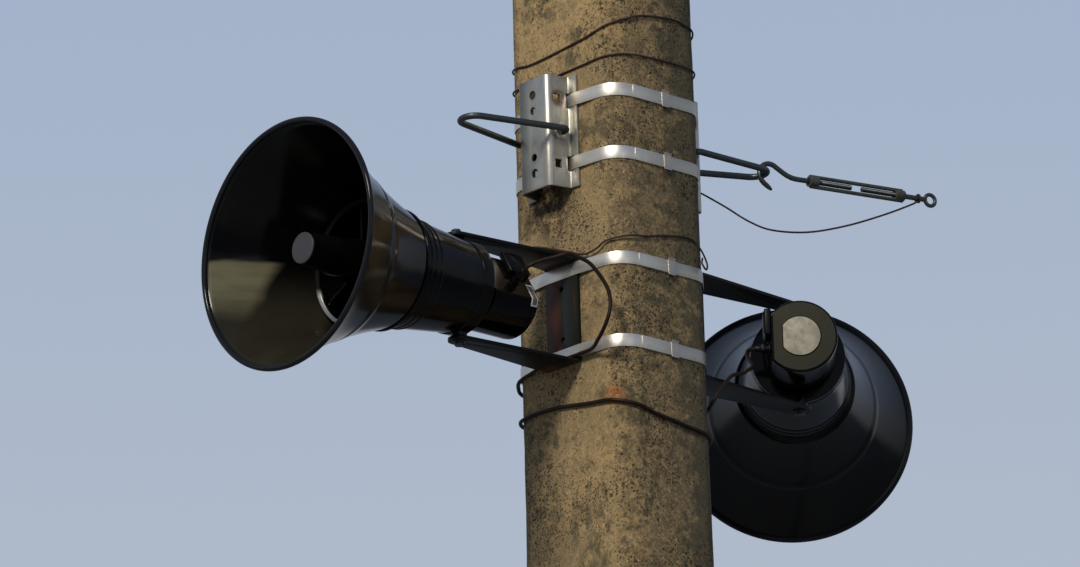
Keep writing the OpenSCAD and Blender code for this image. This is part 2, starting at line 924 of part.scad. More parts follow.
module cable_gland() {
    gland_length = gland_end - flat_distance;
    color("#3b3a36")
        translate([driver_rear + gland_ahead, flat_distance, gland_level])
            rotate([-90, 0, 0])
                difference() {
                    union() {
                        cylinder(h = gland_nut, r = gland_diameter / 2 + 1, $fn = 6);
                        cylinder(h = gland_length - gland_cone, d = gland_diameter);
                        translate([0, 0, gland_length - gland_cone])
                            cylinder(h = gland_cone, d1 = gland_diameter, d2 = gland_diameter - 4);
                    }
                    translate([0, 0, gland_length - gland_recess])
                        cylinder(h = gland_recess + 1, d = lead_diameter + recess_clearance);
                }
}

module left_bell() {
    left_horn_place()
        bell();
}

module left_throat_ring() {
    left_horn_place()
        throat_ring();
}

module left_plug() {
    left_horn_place()
        plug();
}

module left_plug_cap() {
    left_horn_place()
        plug_cap();
}

module left_horn_body() {
    left_horn_place()
        horn_body();
}

module left_driver() {
    left_horn_place()
        rotate([left_roll, 0, 0])
            driver();
}

module left_driver_plate() {
    left_horn_place()
        rotate([left_roll, 0, 0])
            driver_plate();
}

module left_terminal_cover() {
    left_horn_place()
        rotate([left_roll, 0, 0])
            terminal_cover();
}

module left_cable_gland() {
    left_horn_place()
        rotate([left_roll, 0, 0])
            cable_gland();
}

module left_pivot_bolts() {
    left_horn_place()
        pivot_bolts();
}

module right_bell() {
    right_horn_place()
        bell();
}

module right_throat_ring() {
    right_horn_place()
        throat_ring();
}

module right_plug() {
    right_horn_place()
        plug();
}

module right_plug_cap() {
    right_horn_place()
        plug_cap();
}

module right_horn_body() {
    right_horn_place()
        horn_body();
}

module right_driver() {
    right_horn_place()
        driver();
}

module right_driver_plate() {
    right_horn_place()
        driver_plate();
}

module right_terminal_cover() {
    right_horn_place()
        terminal_cover();
}

module right_cable_gland() {
    right_horn_place()
        cable_gland();
}

module right_pivot_bolts() {
    right_horn_place()
        pivot_bolts();
}

// Leads and wires
lead_sides = 10;
wire_sides = 8;

// Places on the pole's faces, at a level above the horns' axes and a height over the concrete
function on_left(y, z, over) = [-half_depth(horn_level + z) - over, y, horn_level + z];
function on_right(y, z, over) = [half_depth(horn_level + z) + over, y, horn_level + z];
function on_near(x, z, over) = [x, -half_width(horn_level + z) - over, horn_level + z];
function on_far(x, z, over) = [x, half_width(horn_level + z) + over, horn_level + z];
function on_corner(side, end, angle, z, over) =
    let (c = corner_centre(horn_level + z, side, end), r = pole_corner + over)
    [c[0] + r * cos(angle), c[1] + r * sin(angle), horn_level + z];
lead_over = lead_diameter / 2 + gap;
wire_over = wire_diameter / 2 + gap + 0.2;

// Each lead leaves its gland in line with it, and parts from its moving tail at a radius about the pivot
lead_straight = 6;
gland_line = [for (run = [0, lead_straight])
    [driver_rear + gland_ahead, gland_end - gland_recess + gap + run, gland_level]];
function rolled(p, a) = [p[0], p[1] * cos(a) - p[2] * sin(a), p[1] * sin(a) + p[2] * cos(a)];
left_pivot = [-pivot_reach, 0, horn_level];
right_pivot = [right_pivot_reach, right_yoke_offset, horn_level];
parting = 148;
left_parting = -42;
right_parting = 194;
function parted(angle, r, z) = [r * cos(angle), r * sin(angle), z];

left_tail_route = concat(
    [for (p = gland_line) turned(rolled(p, left_roll), left_aim)],
    [[81, -74, 33], [88, -80, 37]],
    [parted(left_parting, 131, 41), parted(left_parting, parting, 45)]
);
right_tail_route = concat(
    [for (p = gland_line) turned(p, right_aim)],
    [[-112, -7, -11], [-117, -10, -19], [-121, -19, -31]],
    [parted(right_parting, 131, -45), parted(right_parting, parting, -56)]
);
left_route = concat(
    [for (r = [parting + gap, 165]) left_pivot + parted(left_parting, r, 45 + (r - parting) / 4)],
    [for (p = [[-174, -115, 46], [-157, -122, 38], [-143, -128, 21], [-133, -134, 0], [-130, -136, -22],
        [-132, -132, -44], [-130, -118, -60], [-122, -98, -68]]) [p[0], p[1], horn_level + p[2]]],
    [on_left(-70, -72, 12), on_left(-40, -73, 11), on_left(0, -73, 11), on_left(40, -73, 11)],
    [on_left(68, -75, 8), on_corner(-1, 1, 160, -79, 6), on_corner(-1, 1, 135, -84, 5)],
    [on_corner(-1, 1, 110, -89, lead_over + 1), on_far(-36, -94, lead_over + 0.5)],
    [on_far(-8, -99, lead_over), on_far(12, -112, lead_over)],
    [on_far(8, -128, lead_over), on_far(-12, -137, lead_over), on_far(-30, -139, lead_over)]
);
wrap_route = concat(
    [on_far(-30, -139, lead_over), on_corner(-1, 1, 100, -140, lead_over)],
    [for (a = [125, 150, 175]) on_corner(-1, 1, a, -140, lead_over)],
    [on_left(60, -139, lead_over), on_left(12, -142, lead_over), on_left(-54, -152, lead_over)],
    [for (a = [185, 205, 225, 245, 265]) on_corner(-1, -1, a, -156 - (a - 185) / 7, lead_over)],
    [on_near(-35, -174, lead_over), on_near(0, -178, lead_over), on_near(36, -183, lead_over)],
    [for (a = [275, 295, 315, 335, 355]) on_corner(1, -1, a, -186 - (a - 275) / 12, lead_over)],
    [on_right(-70, -191, lead_over)]
);
right_route = concat(
    [for (r = [parting + gap, 160]) right_pivot + parted(right_parting, r, -56 - (r - parting) * 0.6)],
    [for (p = [[150, -102, -72], [130, -107, -89], [114, -108, -106], [106, -102, -124]])
        [p[0], p[1], horn_level + p[2]]],
    [on_right(-78, -150, 5), on_right(-52, -176, lead_over), on_right(-50, -190, lead_over)],
    [on_right(-70, -191, lead_over)]
);

module left_lead_tail() {
    color("#1b1b1b")
        translate(left_pivot)
            tube(smooth(left_tail_route, 2), lead_diameter, lead_sides);
}

module right_lead_tail() {
    color("#1b1b1b")
        translate(right_pivot)
            tube(smooth(right_tail_route, 2), lead_diameter, lead_sides);
}

module left_lead() {
    color("#1b1b1b")
        tube(smooth(left_route, 2), lead_diameter, lead_sides);
}

module right_lead() {
    color("#1b1b1b")
        tube(smooth(right_route, 2), lead_diameter, lead_sides);
}

module wrap_lead() {
    color("#1b1b1b")
        tube(smooth(wrap_route, 2), lead_diameter, lead_sides);
}

// Tie wire: one turn over the two near faces above the yokes, ending in a small curl
tie_route = concat(
    [on_left(60, 124, wire_over), on_left(36, 116, wire_over), on_left(-8, 99, wire_over)],
    [on_left(-51, 82, wire_over + 4), on_left(-80, 84, wire_over + 4)],
    [for (a = [195, 225, 255]) on_corner(-1, -1, a, 92 + (a - 195) / 8, wire_over + 2)],
    [on_near(-40, 104, wire_over), on_near(0, 113, wire_over), on_near(49, 119, wire_over)],
    [on_near(70, 106, wire_over + 1), on_near(80, 84, wire_over + 4), on_near(74, 72, wire_over + 8)],
    [on_near(66, 80, wire_over + 8), on_near(70, 90, wire_over + 5)]
);
bond_route = concat(
    [[bracket_back + bracket_stand_off + gap + wire_diameter / 2, -48, horn_level + 234]],
    [for (p = [[152, -55, 227], [182, -68, 211], [228, -74, 196], [280, -82, 189], [340, -94, 199],
        [400, -105, 222], [470, -116, 254], [530, -127, 270]]) [p[0], p[1], horn_level + p[2]]]
);

module tie_wire() {
    color("#3a342c")
        tube(smooth(tie_route, 3), wire_diameter, wire_sides);
}

module bond_wire() {
    color("#3a342c")
        tube(smooth(bond_route, 3), wire_diameter, wire_sides);
}

// Upper tie wires: two turns round the pole above the brackets, each closed by a twist on the far face
upper_levels = [[415, 465, 440], [380, 394, 386]];

// The ring's corners, in four steps each between two levels
function between(a, b, share) = a + (b - a) * share;
function corner_run(side, end, first, from, to) =
    [for (i = [0:3]) on_corner(side, end, first + 28 * i, between(from, to, i / 3), wire_over)];
function ring_route(left, near, right) = concat(
    [on_far(-14, left + 8, wire_over), on_far(-36, left + 8, wire_over)],
    corner_run(-1, 1, 93, left + 7, left + 3),
    [on_left(50, left, wire_over), on_left(-50, between(left, near, 0.15), wire_over)],
    corner_run(-1, -1, 183, between(left, near, 0.25), between(left, near, 0.65)),
    [on_near(-30, between(left, near, 0.85), wire_over), on_near(30, near, wire_over)],
    corner_run(1, -1, 273, between(near, right, 0.15), between(near, right, 0.55)),
    [on_right(-50, between(near, right, 0.75), wire_over), on_right(50, right, wire_over)],
    corner_run(1, 1, 3, right, right),
    [on_far(30, right, wire_over), on_far(-8, left + 14, wire_over)]
);

module upper_tie_wires() {
    color("#3a342c")
        for (level = upper_levels)
            tube(smooth(ring_route(level[0], level[1], level[2]), 2), wire_diameter, wire_sides);
}

pole();
horn_band_lower();
horn_band_upper();
bracket_band_lower();
bracket_band_upper();
band_buckles();
pole_bracket_left();
pole_bracket_right();
bail_left();
bail_right();
turnbuckle_hook();
turnbuckle_body();
turnbuckle_eye();
yoke_left();
yoke_right();
left_bell();
left_throat_ring();
left_plug();
left_plug_cap();
left_horn_body();
left_driver();
left_driver_plate();
left_terminal_cover();
left_cable_gland();
left_pivot_bolts();
left_lead_tail();
right_bell();
right_throat_ring();
right_plug();
right_plug_cap();
right_horn_body();
right_driver();
right_driver_plate();
right_terminal_cover();
right_cable_gland();
right_pivot_bolts();
right_lead_tail();
left_lead();
right_lead();
wrap_lead();
tie_wire();
bond_wire();
upper_tie_wires();
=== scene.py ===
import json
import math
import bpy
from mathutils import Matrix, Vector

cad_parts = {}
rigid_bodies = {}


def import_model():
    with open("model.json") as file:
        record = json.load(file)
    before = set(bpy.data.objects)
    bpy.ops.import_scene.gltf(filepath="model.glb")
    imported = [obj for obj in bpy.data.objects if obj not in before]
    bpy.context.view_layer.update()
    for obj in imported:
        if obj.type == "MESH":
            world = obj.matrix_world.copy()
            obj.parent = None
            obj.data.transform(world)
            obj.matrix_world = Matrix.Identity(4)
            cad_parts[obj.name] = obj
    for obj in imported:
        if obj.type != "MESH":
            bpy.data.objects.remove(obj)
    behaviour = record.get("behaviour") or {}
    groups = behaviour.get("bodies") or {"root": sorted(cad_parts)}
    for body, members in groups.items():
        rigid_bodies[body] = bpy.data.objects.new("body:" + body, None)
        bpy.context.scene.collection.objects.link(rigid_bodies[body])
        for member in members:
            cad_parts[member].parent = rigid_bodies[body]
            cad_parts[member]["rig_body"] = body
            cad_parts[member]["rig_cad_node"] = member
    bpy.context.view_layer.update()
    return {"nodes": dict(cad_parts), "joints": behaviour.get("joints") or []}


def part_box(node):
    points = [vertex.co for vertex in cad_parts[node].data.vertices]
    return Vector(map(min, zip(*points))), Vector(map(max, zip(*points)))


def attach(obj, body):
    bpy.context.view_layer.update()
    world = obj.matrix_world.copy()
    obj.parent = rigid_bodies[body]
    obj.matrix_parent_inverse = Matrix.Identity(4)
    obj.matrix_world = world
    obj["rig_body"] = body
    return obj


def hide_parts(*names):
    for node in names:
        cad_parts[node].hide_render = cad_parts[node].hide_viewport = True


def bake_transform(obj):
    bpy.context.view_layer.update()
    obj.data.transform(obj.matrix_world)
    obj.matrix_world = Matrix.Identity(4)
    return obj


bl_info = {
    "name": "Warning loudspeaker pole",
    "version": (1, 0, 0),
    "blender": (4, 5, 0),
    "location": "View3D > Sidebar > Pole",
    "description": "Dresses a concrete pole that carries two horn loudspeakers, brackets and leads",
    "category": "Object",
}

from contextlib import contextmanager

import bmesh
import bpy
from bpy.props import FloatProperty, FloatVectorProperty, IntProperty, PointerProperty
from mathutils import Matrix, Vector, noise

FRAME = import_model()
MM = 0.001


# Places read from the frame
def joint_place(name):
    """Where a hinge of the frame stands, in metres."""
    found = next(j for j in FRAME["joints"] if j["name"] == name)
    return Vector(found["pos_m"])


LEFT_PIVOT = joint_place("left_horn_swing")
RIGHT_PIVOT = joint_place("right_horn_swing")
HORN_LEVEL = LEFT_PIVOT.z
POLE_FOOT, POLE_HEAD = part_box("pole")


def linear(code):
    """A colour written as a web code, in Blender's own linear values."""
    channels = [int(code[i:i + 2], 16) / 255 for i in (1, 3, 5)]
    return tuple(c / 12.92 if c <= 0.04045 else ((c + 0.055) / 1.055) ** 2.4 for c in channels)


def colour(title, text, code):
    return FloatVectorProperty(
        name=title, description=text, default=linear(code), subtype="COLOR", size=3, min=0, max=1
    )


def length(title, text, metres):
    return FloatProperty(name=title, description=text, default=metres, unit="LENGTH", min=0)


def angle(title, text, degrees):
    return FloatProperty(name=title, description=text, default=math.radians(degrees), subtype="ANGLE")


class PoleSettings(bpy.types.PropertyGroup):
    top_width: length("Top width", "Width of the pole at its top, across the horns", 0.220)
    top_depth: length("Top depth", "Depth of the pole at its top, between the yokes", 0.175)
    corner: length("Corner radius", "Radius of the cast corners", 0.038)
    bevel: length("Top bevel", "Bevel round the top edge", 0.008)
    wear: length("Corner wear", "Deepest loss of concrete at a corner", 0.003)
    warm: colour("Warm concrete", "Washed sandy concrete", "#8f7852")
    grey: colour("Grey concrete", "Weathered concrete between the washed places", "#6a5c44")
    # Sand also gives the painted light that makes the lit left face paler
    sand_and_lit_face: colour("Sand", "Pale grains in the concrete's skin", "#b89d70")
    pit: colour("Pits", "Dirt in the blow holes of the casting", "#17110b")
    rust: colour("Rust run", "Stain round the tied lead", "#8a4520")
    # The growth tone also carries painted shade towards the pole's right
    growth_and_shade: colour("Growth", "Dark green film on the damp side", "#34352a")
    pit_spacing: length("Pit spacing", "Mean distance between the blow holes", 0.012)


class HornSettings(bpy.types.PropertyGroup):
    mouth: length("Mouth", "Radius over the rolled rim", 0.190)
    mouth_to_pivot: length("Mouth to pivots", "Distance from the mouth back to the pivots", 0.340)
    bell_length: length("Bell length", "Distance from the mouth back to the seam", 0.198)
    bead: length("Rim bead", "Radius of the rolled rim's rod", 0.0045)
    crease: length("Crease", "Radius of the crease round the bell's back", 0.129)
    spin_steps: IntProperty(
        name="Spin steps", description="Steps round the axis", default=144, min=24, max=256)
    gloss: colour("Gloss paint", "Black paint of the horns", "#040405")
    # The dust tone also paints the sunlit patch inside the left bell as painted light
    dust_and_lit_patch: colour("Dust", "Film on the paint", "#635f4a")
    driver: colour("Driver's cover", "Matt olive paint of the driver's rear cover", "#2b2a1f")
    panel: colour("Label", "Blank label of the driver", "#958e7b")
    bare: colour("Bare metal", "Machined ring in the throat", "#b9b5aa")
    driver_radius: length("Driver radius", "Radius of the driver's drum", 0.057)
    driver_reach: length("Driver reach", "Distance from the pivots back to the drum's rear", 0.113)
    driver_flat: length("Driver flat", "Distance from the axis to the drum's flat side", 0.043)
    left_roll: angle("Left driver's roll", "Turn of the left driver about its axis", 30)


class MetalSettings(bpy.types.PropertyGroup):
    stainless: colour("Stainless", "The bands", "#d6cfc2")
    zinc: colour("Zinc", "Galvanised plate of the brackets", "#b4b1a6")
    dull_zinc: colour("Dull zinc", "Old zinc of the bails and the turnbuckle", "#4c5253")
    rust: colour("Rust", "Rust on zinc and paint", "#4d2a1a")
    yoke: colour("Yoke paint", "Black paint of the yokes", "#060607")
    edge_round: length("Edge rounding", "Radius that softens an edge of flat bar", 0.0008)


class LeadSettings(bpy.types.PropertyGroup):
    lead: length("Lead", "Diameter of a loudspeaker lead", 0.006)
    wire: length("Wire", "Diameter of a tie wire", 0.003)
    clearance: length("Clearance", "Clearance of a lead from what it lies on", 0.0003)
    sheath: colour("Sheath", "Weathered dark brown sheath", "#1a0f08")
    iron: colour("Iron wire", "Rusty iron wire", "#2a1f18")


class StageSettings(bpy.types.PropertyGroup):
    distance: length("Camera distance", "Distance from the camera to the pole at the horns' level", 14.645)
    azimuth: angle("View bearing", "Bearing of the view from the +Y axis", 43.45)
    elevation: angle("View slope", "How far up the camera looks", 18.12)
    roll: angle("Roll", "Roll of the camera", 1.92)
    lens: FloatProperty(name="Lens", description="Focal length in millimetres", default=324.7, min=20)
    aim_left: length("Aim left", "How far left of the pole's axis the camera aims", 0.1081)
    aim_up: length("Aim up", "How far above the horns' level the camera aims", 0.0665)
    low_sky: colour("Low sky", "Pale surroundings below the pole's head", "#b2bbca")
    sky: colour("Sky", "Pale surroundings behind the pole's head", "#a2b2ca")
    zenith: colour("Zenith", "Surroundings overhead", "#7d8aa3")
    floor: colour("Floor", "Plain pale floor", "#a9a9a5")


# Shader maths: a socket that can be used in plain sums
class Value:
    def __init__(self, paint, socket):
        self.paint = paint
        self.socket = socket

    def __add__(self, other):
        return self.paint.maths("ADD", self, other)

    def __radd__(self, other):
        return self.paint.maths("ADD", other, self)

    def __sub__(self, other):
        return self.paint.maths("SUBTRACT", self, other)

    def __rsub__(self, other):
        return self.paint.maths("SUBTRACT", other, self)

    def __mul__(self, other):
        return self.paint.maths("MULTIPLY", self, other)

    def __rmul__(self, other):
        return self.paint.maths("MULTIPLY", other, self)


class Paint:
    """A material, or the surroundings, whose nodes are made by one method."""

    def __init__(self, name, surroundings=None):
        self.material = surroundings or bpy.data.materials.new(name)
        self.material.use_nodes = True
        self.tree = self.material.node_tree
        self.tree.nodes.clear()
        self.place = self.node("TexCoord", output="Generated" if surroundings else "Object")

    def node(self, kind, options=None, inputs=None, output=0):
        made = self.tree.nodes.new("ShaderNode" + kind)
        for name, value in (options or {}).items():
            if name == "stops":
                self.set_stops(made.color_ramp, value)
            else:
                setattr(made, name, value)
        for name, value in (inputs or {}).items():
            if isinstance(value, Value):
                self.tree.links.new(value.socket, made.inputs[name])
            else:
                made.inputs[name].default_value = value
        return Value(self, made.outputs[output]) if made.outputs else None

    def set_stops(self, ramp, stops):
        while len(ramp.elements) < len(stops):
            ramp.elements.new(0.5)
        for element, (place, tone) in zip(ramp.elements, stops):
            element.position = place
            element.color = (*tone, 1)

    def maths(self, operation, a, b):
        return self.node("Math", {"operation": operation}, {0: a, 1: b})

    def vector(self, operation, inputs, output=0):
        return self.node("VectorMath", {"operation": operation}, inputs, output)

    def noise(self, scale, detail=4.0, roughness=0.5, vector=None, output="Fac"):
        inputs = {"Vector": vector or self.place, "Scale": scale, "Detail": detail, "Roughness": roughness}
        return self.node("TexNoise", {}, inputs, output)

    def streaks(self, x, y, z, detail=4):
        """Noise with a scale of its own along each axis."""
        stretched = self.node("Mapping", {}, {"Vector": self.place, "Scale": (x, y, z)})
        return self.noise(1.0, detail, 0.6, stretched)

    def cells(self, scale, vector=None, output="Distance"):
        return self.node("TexVoronoi", {}, {"Vector": vector or self.place, "Scale": scale}, output)

    def cell_chance(self, scale, vector=None):
        """One random value for each cell."""
        return self.node("SeparateColor", {}, {"Color": self.cells(scale, vector, "Color")}, "Red")

    def between(self, value, low, high):
        """0 below low, 1 above high, smooth between; low may be the greater."""
        inputs = {"Value": value, "From Min": low, "From Max": high}
        return self.node("MapRange", {"interpolation_type": "SMOOTHSTEP"}, inputs)

    def mix(self, share, a, b):
        a, b = (tone if isinstance(tone, Value) else (*tone, 1) for tone in (a, b))
        return self.node("Mix", {"data_type": "RGBA"}, {0: share, 6: a, 7: b}, 2)

    def coats(self, body, *coats):
        """Lays tones over a body, each by its share where a field passes from low to high."""
        for field, low, high, share, tone in coats:
            body = self.mix(self.between(field, low, high) * share, body, tone)
        return body

    def axis(self, name):
        return self.node("SeparateXYZ", {}, {"Vector": self.place}, name)

    def near(self, place, inner, outer):
        """1 within the inner distance of a place, 0 beyond the outer one."""
        return self.between(self.vector("DISTANCE", {0: self.place, 1: place}, "Value"), outer, inner)

    def bump(self, height, distance, strength):
        return self.node("Bump", {}, {"Height": height, "Distance": distance, "Strength": strength})

    def finish(self, **surface):
        """Ends the material with a surface shader, whose inputs are named in small letters."""
        inputs = {name.replace("_", " ").title().replace("Ior", "IOR"): v for name, v in surface.items()}
        self.node("OutputMaterial", {}, {"Surface": self.node("BsdfPrincipled", {}, inputs)})
        return self.material


def settings():
    return bpy.context.scene


def shaded(tone, factor):
    return tuple(min(1.0, c * factor) for c in tone)


# Materials
def blow_holes(p, spacing, size, shift, crowded):
    """Holes of the casting: 1 inside one, 0 outside; more of them where the mask is high."""
    drift = p.vector("SCALE", {0: p.noise(260, 2, output="Color"), "Scale": 0.0035})
    place = p.vector("ADD", {0: p.vector("ADD", {0: p.place, 1: drift}), 1: (shift, 2 * shift, 3 * shift)})
    radius = p.between(p.cell_chance(1 / spacing, place) + crowded * 0.6, 0.6, 1.2) * size
    return p.between(radius - p.cells(1 / spacing, place), 0.0, 0.07)


def concrete():
    cast = settings().pole_casting
    p = Paint("cast_concrete")
    wide = p.noise(3.4, 4, 0.6)
    patches = p.noise(13, 5, 0.66)
    mottle = p.noise(48, 4, 0.65)
    coarse = p.noise(115, 4, 0.7)
    grit = p.noise(210, 3, 0.7)
    grains = p.noise(520, 2, 0.6)
    leaning = (p.axis("Z") - HORN_LEVEL) * 0.0034
    # Painted shade: the green film grows heavier towards the pole's right, the side away from the lamp
    painted_shade_side = p.between(p.axis("X"), -0.03, 0.07)
    # A darker speckled patch under the left bracket
    dark_speckle_patch = p.near((-0.098, 0.03, 6.085), 0.02, 0.085)
    stain = p.near((-0.087, -0.094, 5.75), 0.004, 0.026)
    body = p.coats(
        p.mix(p.between(wide * 0.5 + patches * 0.5, 0.4, 0.6), cast.grey, cast.warm),
        (mottle, 0.44, 0.62, 0.45, shaded(cast.grey, 0.62)),
        (p.streaks(30, 30, 2.2), 0.52, 0.72, 0.35, shaded(cast.grey, 0.6)),
        (coarse, 0.52, 0.6, 0.4, shaded(cast.grey, 0.5)),
        (coarse, 0.46, 0.38, 0.35, shaded(cast.sand_and_lit_face, 0.9)),
        (grains, 0.56, 0.68, 0.5, cast.sand_and_lit_face),
        (grit, 0.5, 0.62, 0.7, shaded(cast.grey, 0.4)),
        # Painted light: the left face, turned to the lamp, is painted paler with the sand tone
        (p.axis("X") - leaning, -0.0915, -0.0955, wide * 0.4 + 0.1, shaded(cast.sand_and_lit_face, 0.85)),
        (patches * 0.6 + mottle * 0.4 + painted_shade_side * 0.16, 0.49, 0.63, 0.72, cast.growth_and_shade),
        (mottle, 0.3, 0.55, dark_speckle_patch * 0.8, shaded(cast.pit, 1.2)),
        (coarse, 0.3, 0.56, stain * 0.8, cast.rust),
    )
    crowded = p.between(p.noise(9, 3, 0.6), 0.4, 0.62)
    holes = 0.0
    for part, size, shift in ((0.28, 0.38, 0.7), (0.45, 0.34, 0.2), (0.9, 0.25, 0.4), (2.2, 0.15, 0.9)):
        holes = p.maths("MAXIMUM", holes, blow_holes(p, cast.pit_spacing * part, size, shift, crowded))
    height = grains * 0.12 + grit * 0.3 + mottle * 0.5 - holes * 1.5
    return p.finish(
        base_color=p.mix(holes * (grit * 0.5 + 0.5), body, cast.pit),
        roughness=0.92,
        specular_ior_level=0.25,
        normal=p.bump(height, 0.0018, 0.85),
    )


def stainless():
    p = Paint("stainless_band")
    tint = settings().pole_metals.stainless
    lines = p.streaks(10, 10, 1100)
    smears = p.noise(30, 4, 0.6)
    scratches = p.streaks(60, 60, 400, 3)
    body = p.coats(
        tint,
        (smears, 0.45, 0.75, 0.4, shaded(tint, 0.6)),
        (scratches, 0.6, 0.75, 0.35, shaded(tint, 0.35)),
        # Painted shade: the bands are darker right of the corner, on the near face turned away from the lamp
        (p.axis("X"), -0.075, 0.02, 0.75, shaded(tint, 0.5)),
    )
    return p.finish(
        base_color=body,
        metallic=1.0,
        roughness=p.between(lines * 0.5 + smears * 0.5, 0.2, 0.9) * 0.25 + 0.34,
        normal=p.bump(lines * 0.6 + scratches * 0.4, 0.0002, 0.3),
    )


def zinc(name, tint, rough, dirt, stains=(), dark_edge_span=None):
    """Old zinc; a stain is a place and two reaches, and the plate turns darker and greener between two values
    of Y.
    """
    p = Paint(name)
    rust = settings().pole_metals.rust
    flake = p.cell_chance(110)
    cloud = p.noise(26, 5, 0.65)
    body = p.coats(
        p.mix(flake * 0.35, tint, shaded(tint, 0.7)),
        (cloud, 0.5, 0.72, dirt, shaded(tint, 0.4)),
        (p.streaks(80, 80, 6), 0.6, 0.76, dirt, shaded(rust, 1.3)),
    )
    if dark_edge_span:
        body = p.coats(body, (p.axis("Y") + cloud * 0.02, *dark_edge_span, 0.6, linear("#2c2f28")))
    for place, inner, outer in stains:
        body = p.coats(body, (cloud, 0.25, 0.5, p.near(place, inner, outer) * 0.9, shaded(rust, 1.6)))
    return p.finish(
        base_color=body,
        metallic=p.between(cloud, 0.8, 0.45) * 0.3 + 0.65,
        roughness=flake * 0.06 + cloud * 0.2 + rough,
        normal=p.bump(cloud * 0.7 + p.noise(320, 3) * 0.3, 0.0006, 0.4),
    )


def gloss_black():
    horn = settings().pole_horns
    p = Paint("gloss_black")
    film = p.noise(9, 5, 0.62)
    specks = p.between(p.cells(190), 0.11, 0.05) * p.between(p.noise(21, 3), 0.56, 0.7)
    dust_and_sunlit_patch = p.between(film, 0.42, 0.72) * 0.02 + p.between(p.streaks(40, 40, 5), 0.58, 0.74) * 0.02
    inside, rim = (p.node("Attribute", {"attribute_name": name}, {}, "Fac") for name in ("inside", "rim"))
    level = p.axis("Z") - HORN_LEVEL
    low = p.between(level, 0.03, -0.06) * (film * 0.5 + 0.2)
    # Painted light: a sunlit patch of dust low inside the left bell, with a level top edge and a slanting
    # side where the rim's shadow would end it
    line = level + p.noise(16, 3) * 0.012
    slanting = p.axis("X") - LEFT_PIVOT.x - level * 0.5 + p.noise(10, 3) * 0.03
    sunlit_dust_patch = p.between(line, 0.031, 0.023) * p.between(line, -0.095, 0.005)
    sunlit_dust_patch = sunlit_dust_patch * p.between(slanting, -0.222, -0.252)
    wisps = p.streaks(14, 14, 70) * 0.7 + 0.5
    # Real dust lower inside the bells, and the painted sunlit patch
    dust_and_sunlit_patch = p.maths("MAXIMUM", dust_and_sunlit_patch, inside * p.maths("MAXIMUM", low * 0.27, sunlit_dust_patch * wisps))
    body = p.mix(dust_and_sunlit_patch + specks * 0.25, horn.gloss, horn.dust_and_lit_patch)
    return p.finish(
        # Painted highlight: the rolled rim's bead is painted a lighter grey, standing in for the sky's
        # reflection along it
        base_color=p.mix(rim * 0.12, body, linear("#4b4f55")),
        metallic=rim * 0.12,
        roughness=p.between(film, 0.3, 0.8) * 0.12 + 0.1 + specks * 0.3 + dust_and_sunlit_patch * 0.4,
        specular_ior_level=0.115,
        normal=p.bump(p.noise(26, 3) * 0.8 + specks * 0.2, 0.0008, 0.08),
    )


def yoke_paint():
    metal = settings().pole_metals
    p = Paint("yoke_paint")
    x, y = p.axis("X"), p.axis("Y")
    film = p.noise(17, 5, 0.6)
    runs = p.streaks(60, 60, 5)
    rust = p.between(runs, 0.6, 0.74) * 0.5
    on_web = p.between(x, -0.125, -0.119) * p.between(x, -0.05, -0.06)
    stripe = on_web * p.between(y, 0.0, 0.008) * p.between(y, 0.034, 0.03)
    worn_stripe = stripe * (p.between(runs, 0.35, 0.6) * 0.5 + 0.5)
    body = p.coats(metal.yoke, (film, 0.45, 0.7, 0.25, linear("#191b16")))
    body = p.mix(on_web * 0.5, body, linear("#242820"))
    return p.finish(
        base_color=p.mix(p.maths("MAXIMUM", rust, worn_stripe * 0.8), body, metal.rust),
        roughness=film * 0.25 + rust * 0.2 + 0.28,
        specular_ior_level=0.13,
        normal=p.bump(film * 0.6 + rust * 0.4, 0.0006, 0.4),
    )


def matt_paint(name, tint, rough=0.5, grain_height=0.35, shine=0.35):
    p = Paint(name)
    film = p.noise(34, 5, 0.6)
    body = p.coats(
        tint,
        (film, 0.4, 0.75, 0.4, shaded(tint, 1.4)),
        (p.streaks(90, 90, 25, 3), 0.62, 0.75, 0.3, shaded(tint, 2.0)),
    )
    return p.finish(
        base_color=body,
        roughness=film * 0.2 + rough,
        specular_ior_level=shine,
        normal=p.bump(p.noise(800, 2) * 0.7 + film * 0.3, 0.0003, grain_height),
    )


def lichened_zinc():
    """Old zinc under a crust of dirt and lichen."""
    metal = settings().pole_metals
    p = Paint("lichened_zinc")
    crust = p.between(p.noise(75, 5, 0.7), 0.4, 0.56)
    body = p.mix(crust * 0.9, shaded(metal.dull_zinc, 0.9), linear("#28271d"))
    return p.finish(
        base_color=p.coats(body, (p.noise(170, 4), 0.5, 0.62, crust * 0.6, linear("#47462f"))),
        metallic=(1 - crust) * 0.6,
        roughness=crust * 0.4 + 0.4,
        normal=p.bump(crust, 0.0006, 0.5),
    )


def label_face(name, pale, dark):
    """A blank printed plate, weathered in small clouds."""
    p = Paint(name)
    cloud = p.noise(70, 5, 0.65)
    body = p.mix(p.between(cloud, 0.36, 0.66), pale, dark)
    body = p.coats(body, (p.noise(300, 3, 0.6), 0.55, 0.68, 0.35, shaded(dark, 0.6)))
    return p.finish(base_color=body, metallic=0.15, roughness=0.5, normal=p.bump(cloud, 0.0002, 0.3))


def sheath():
    tint = settings().pole_leads.sheath
    p = Paint("lead_sheath")
    film = p.noise(45, 4, 0.6)
    body = p.coats(tint, (film, 0.4, 0.7, 0.5, shaded(tint, 2.2)))
    return p.finish(
        base_color=body,
        roughness=film * 0.25 + 0.36,
        specular_ior_level=0.16,
        normal=p.bump(film, 0.0004, 0.3),
    )


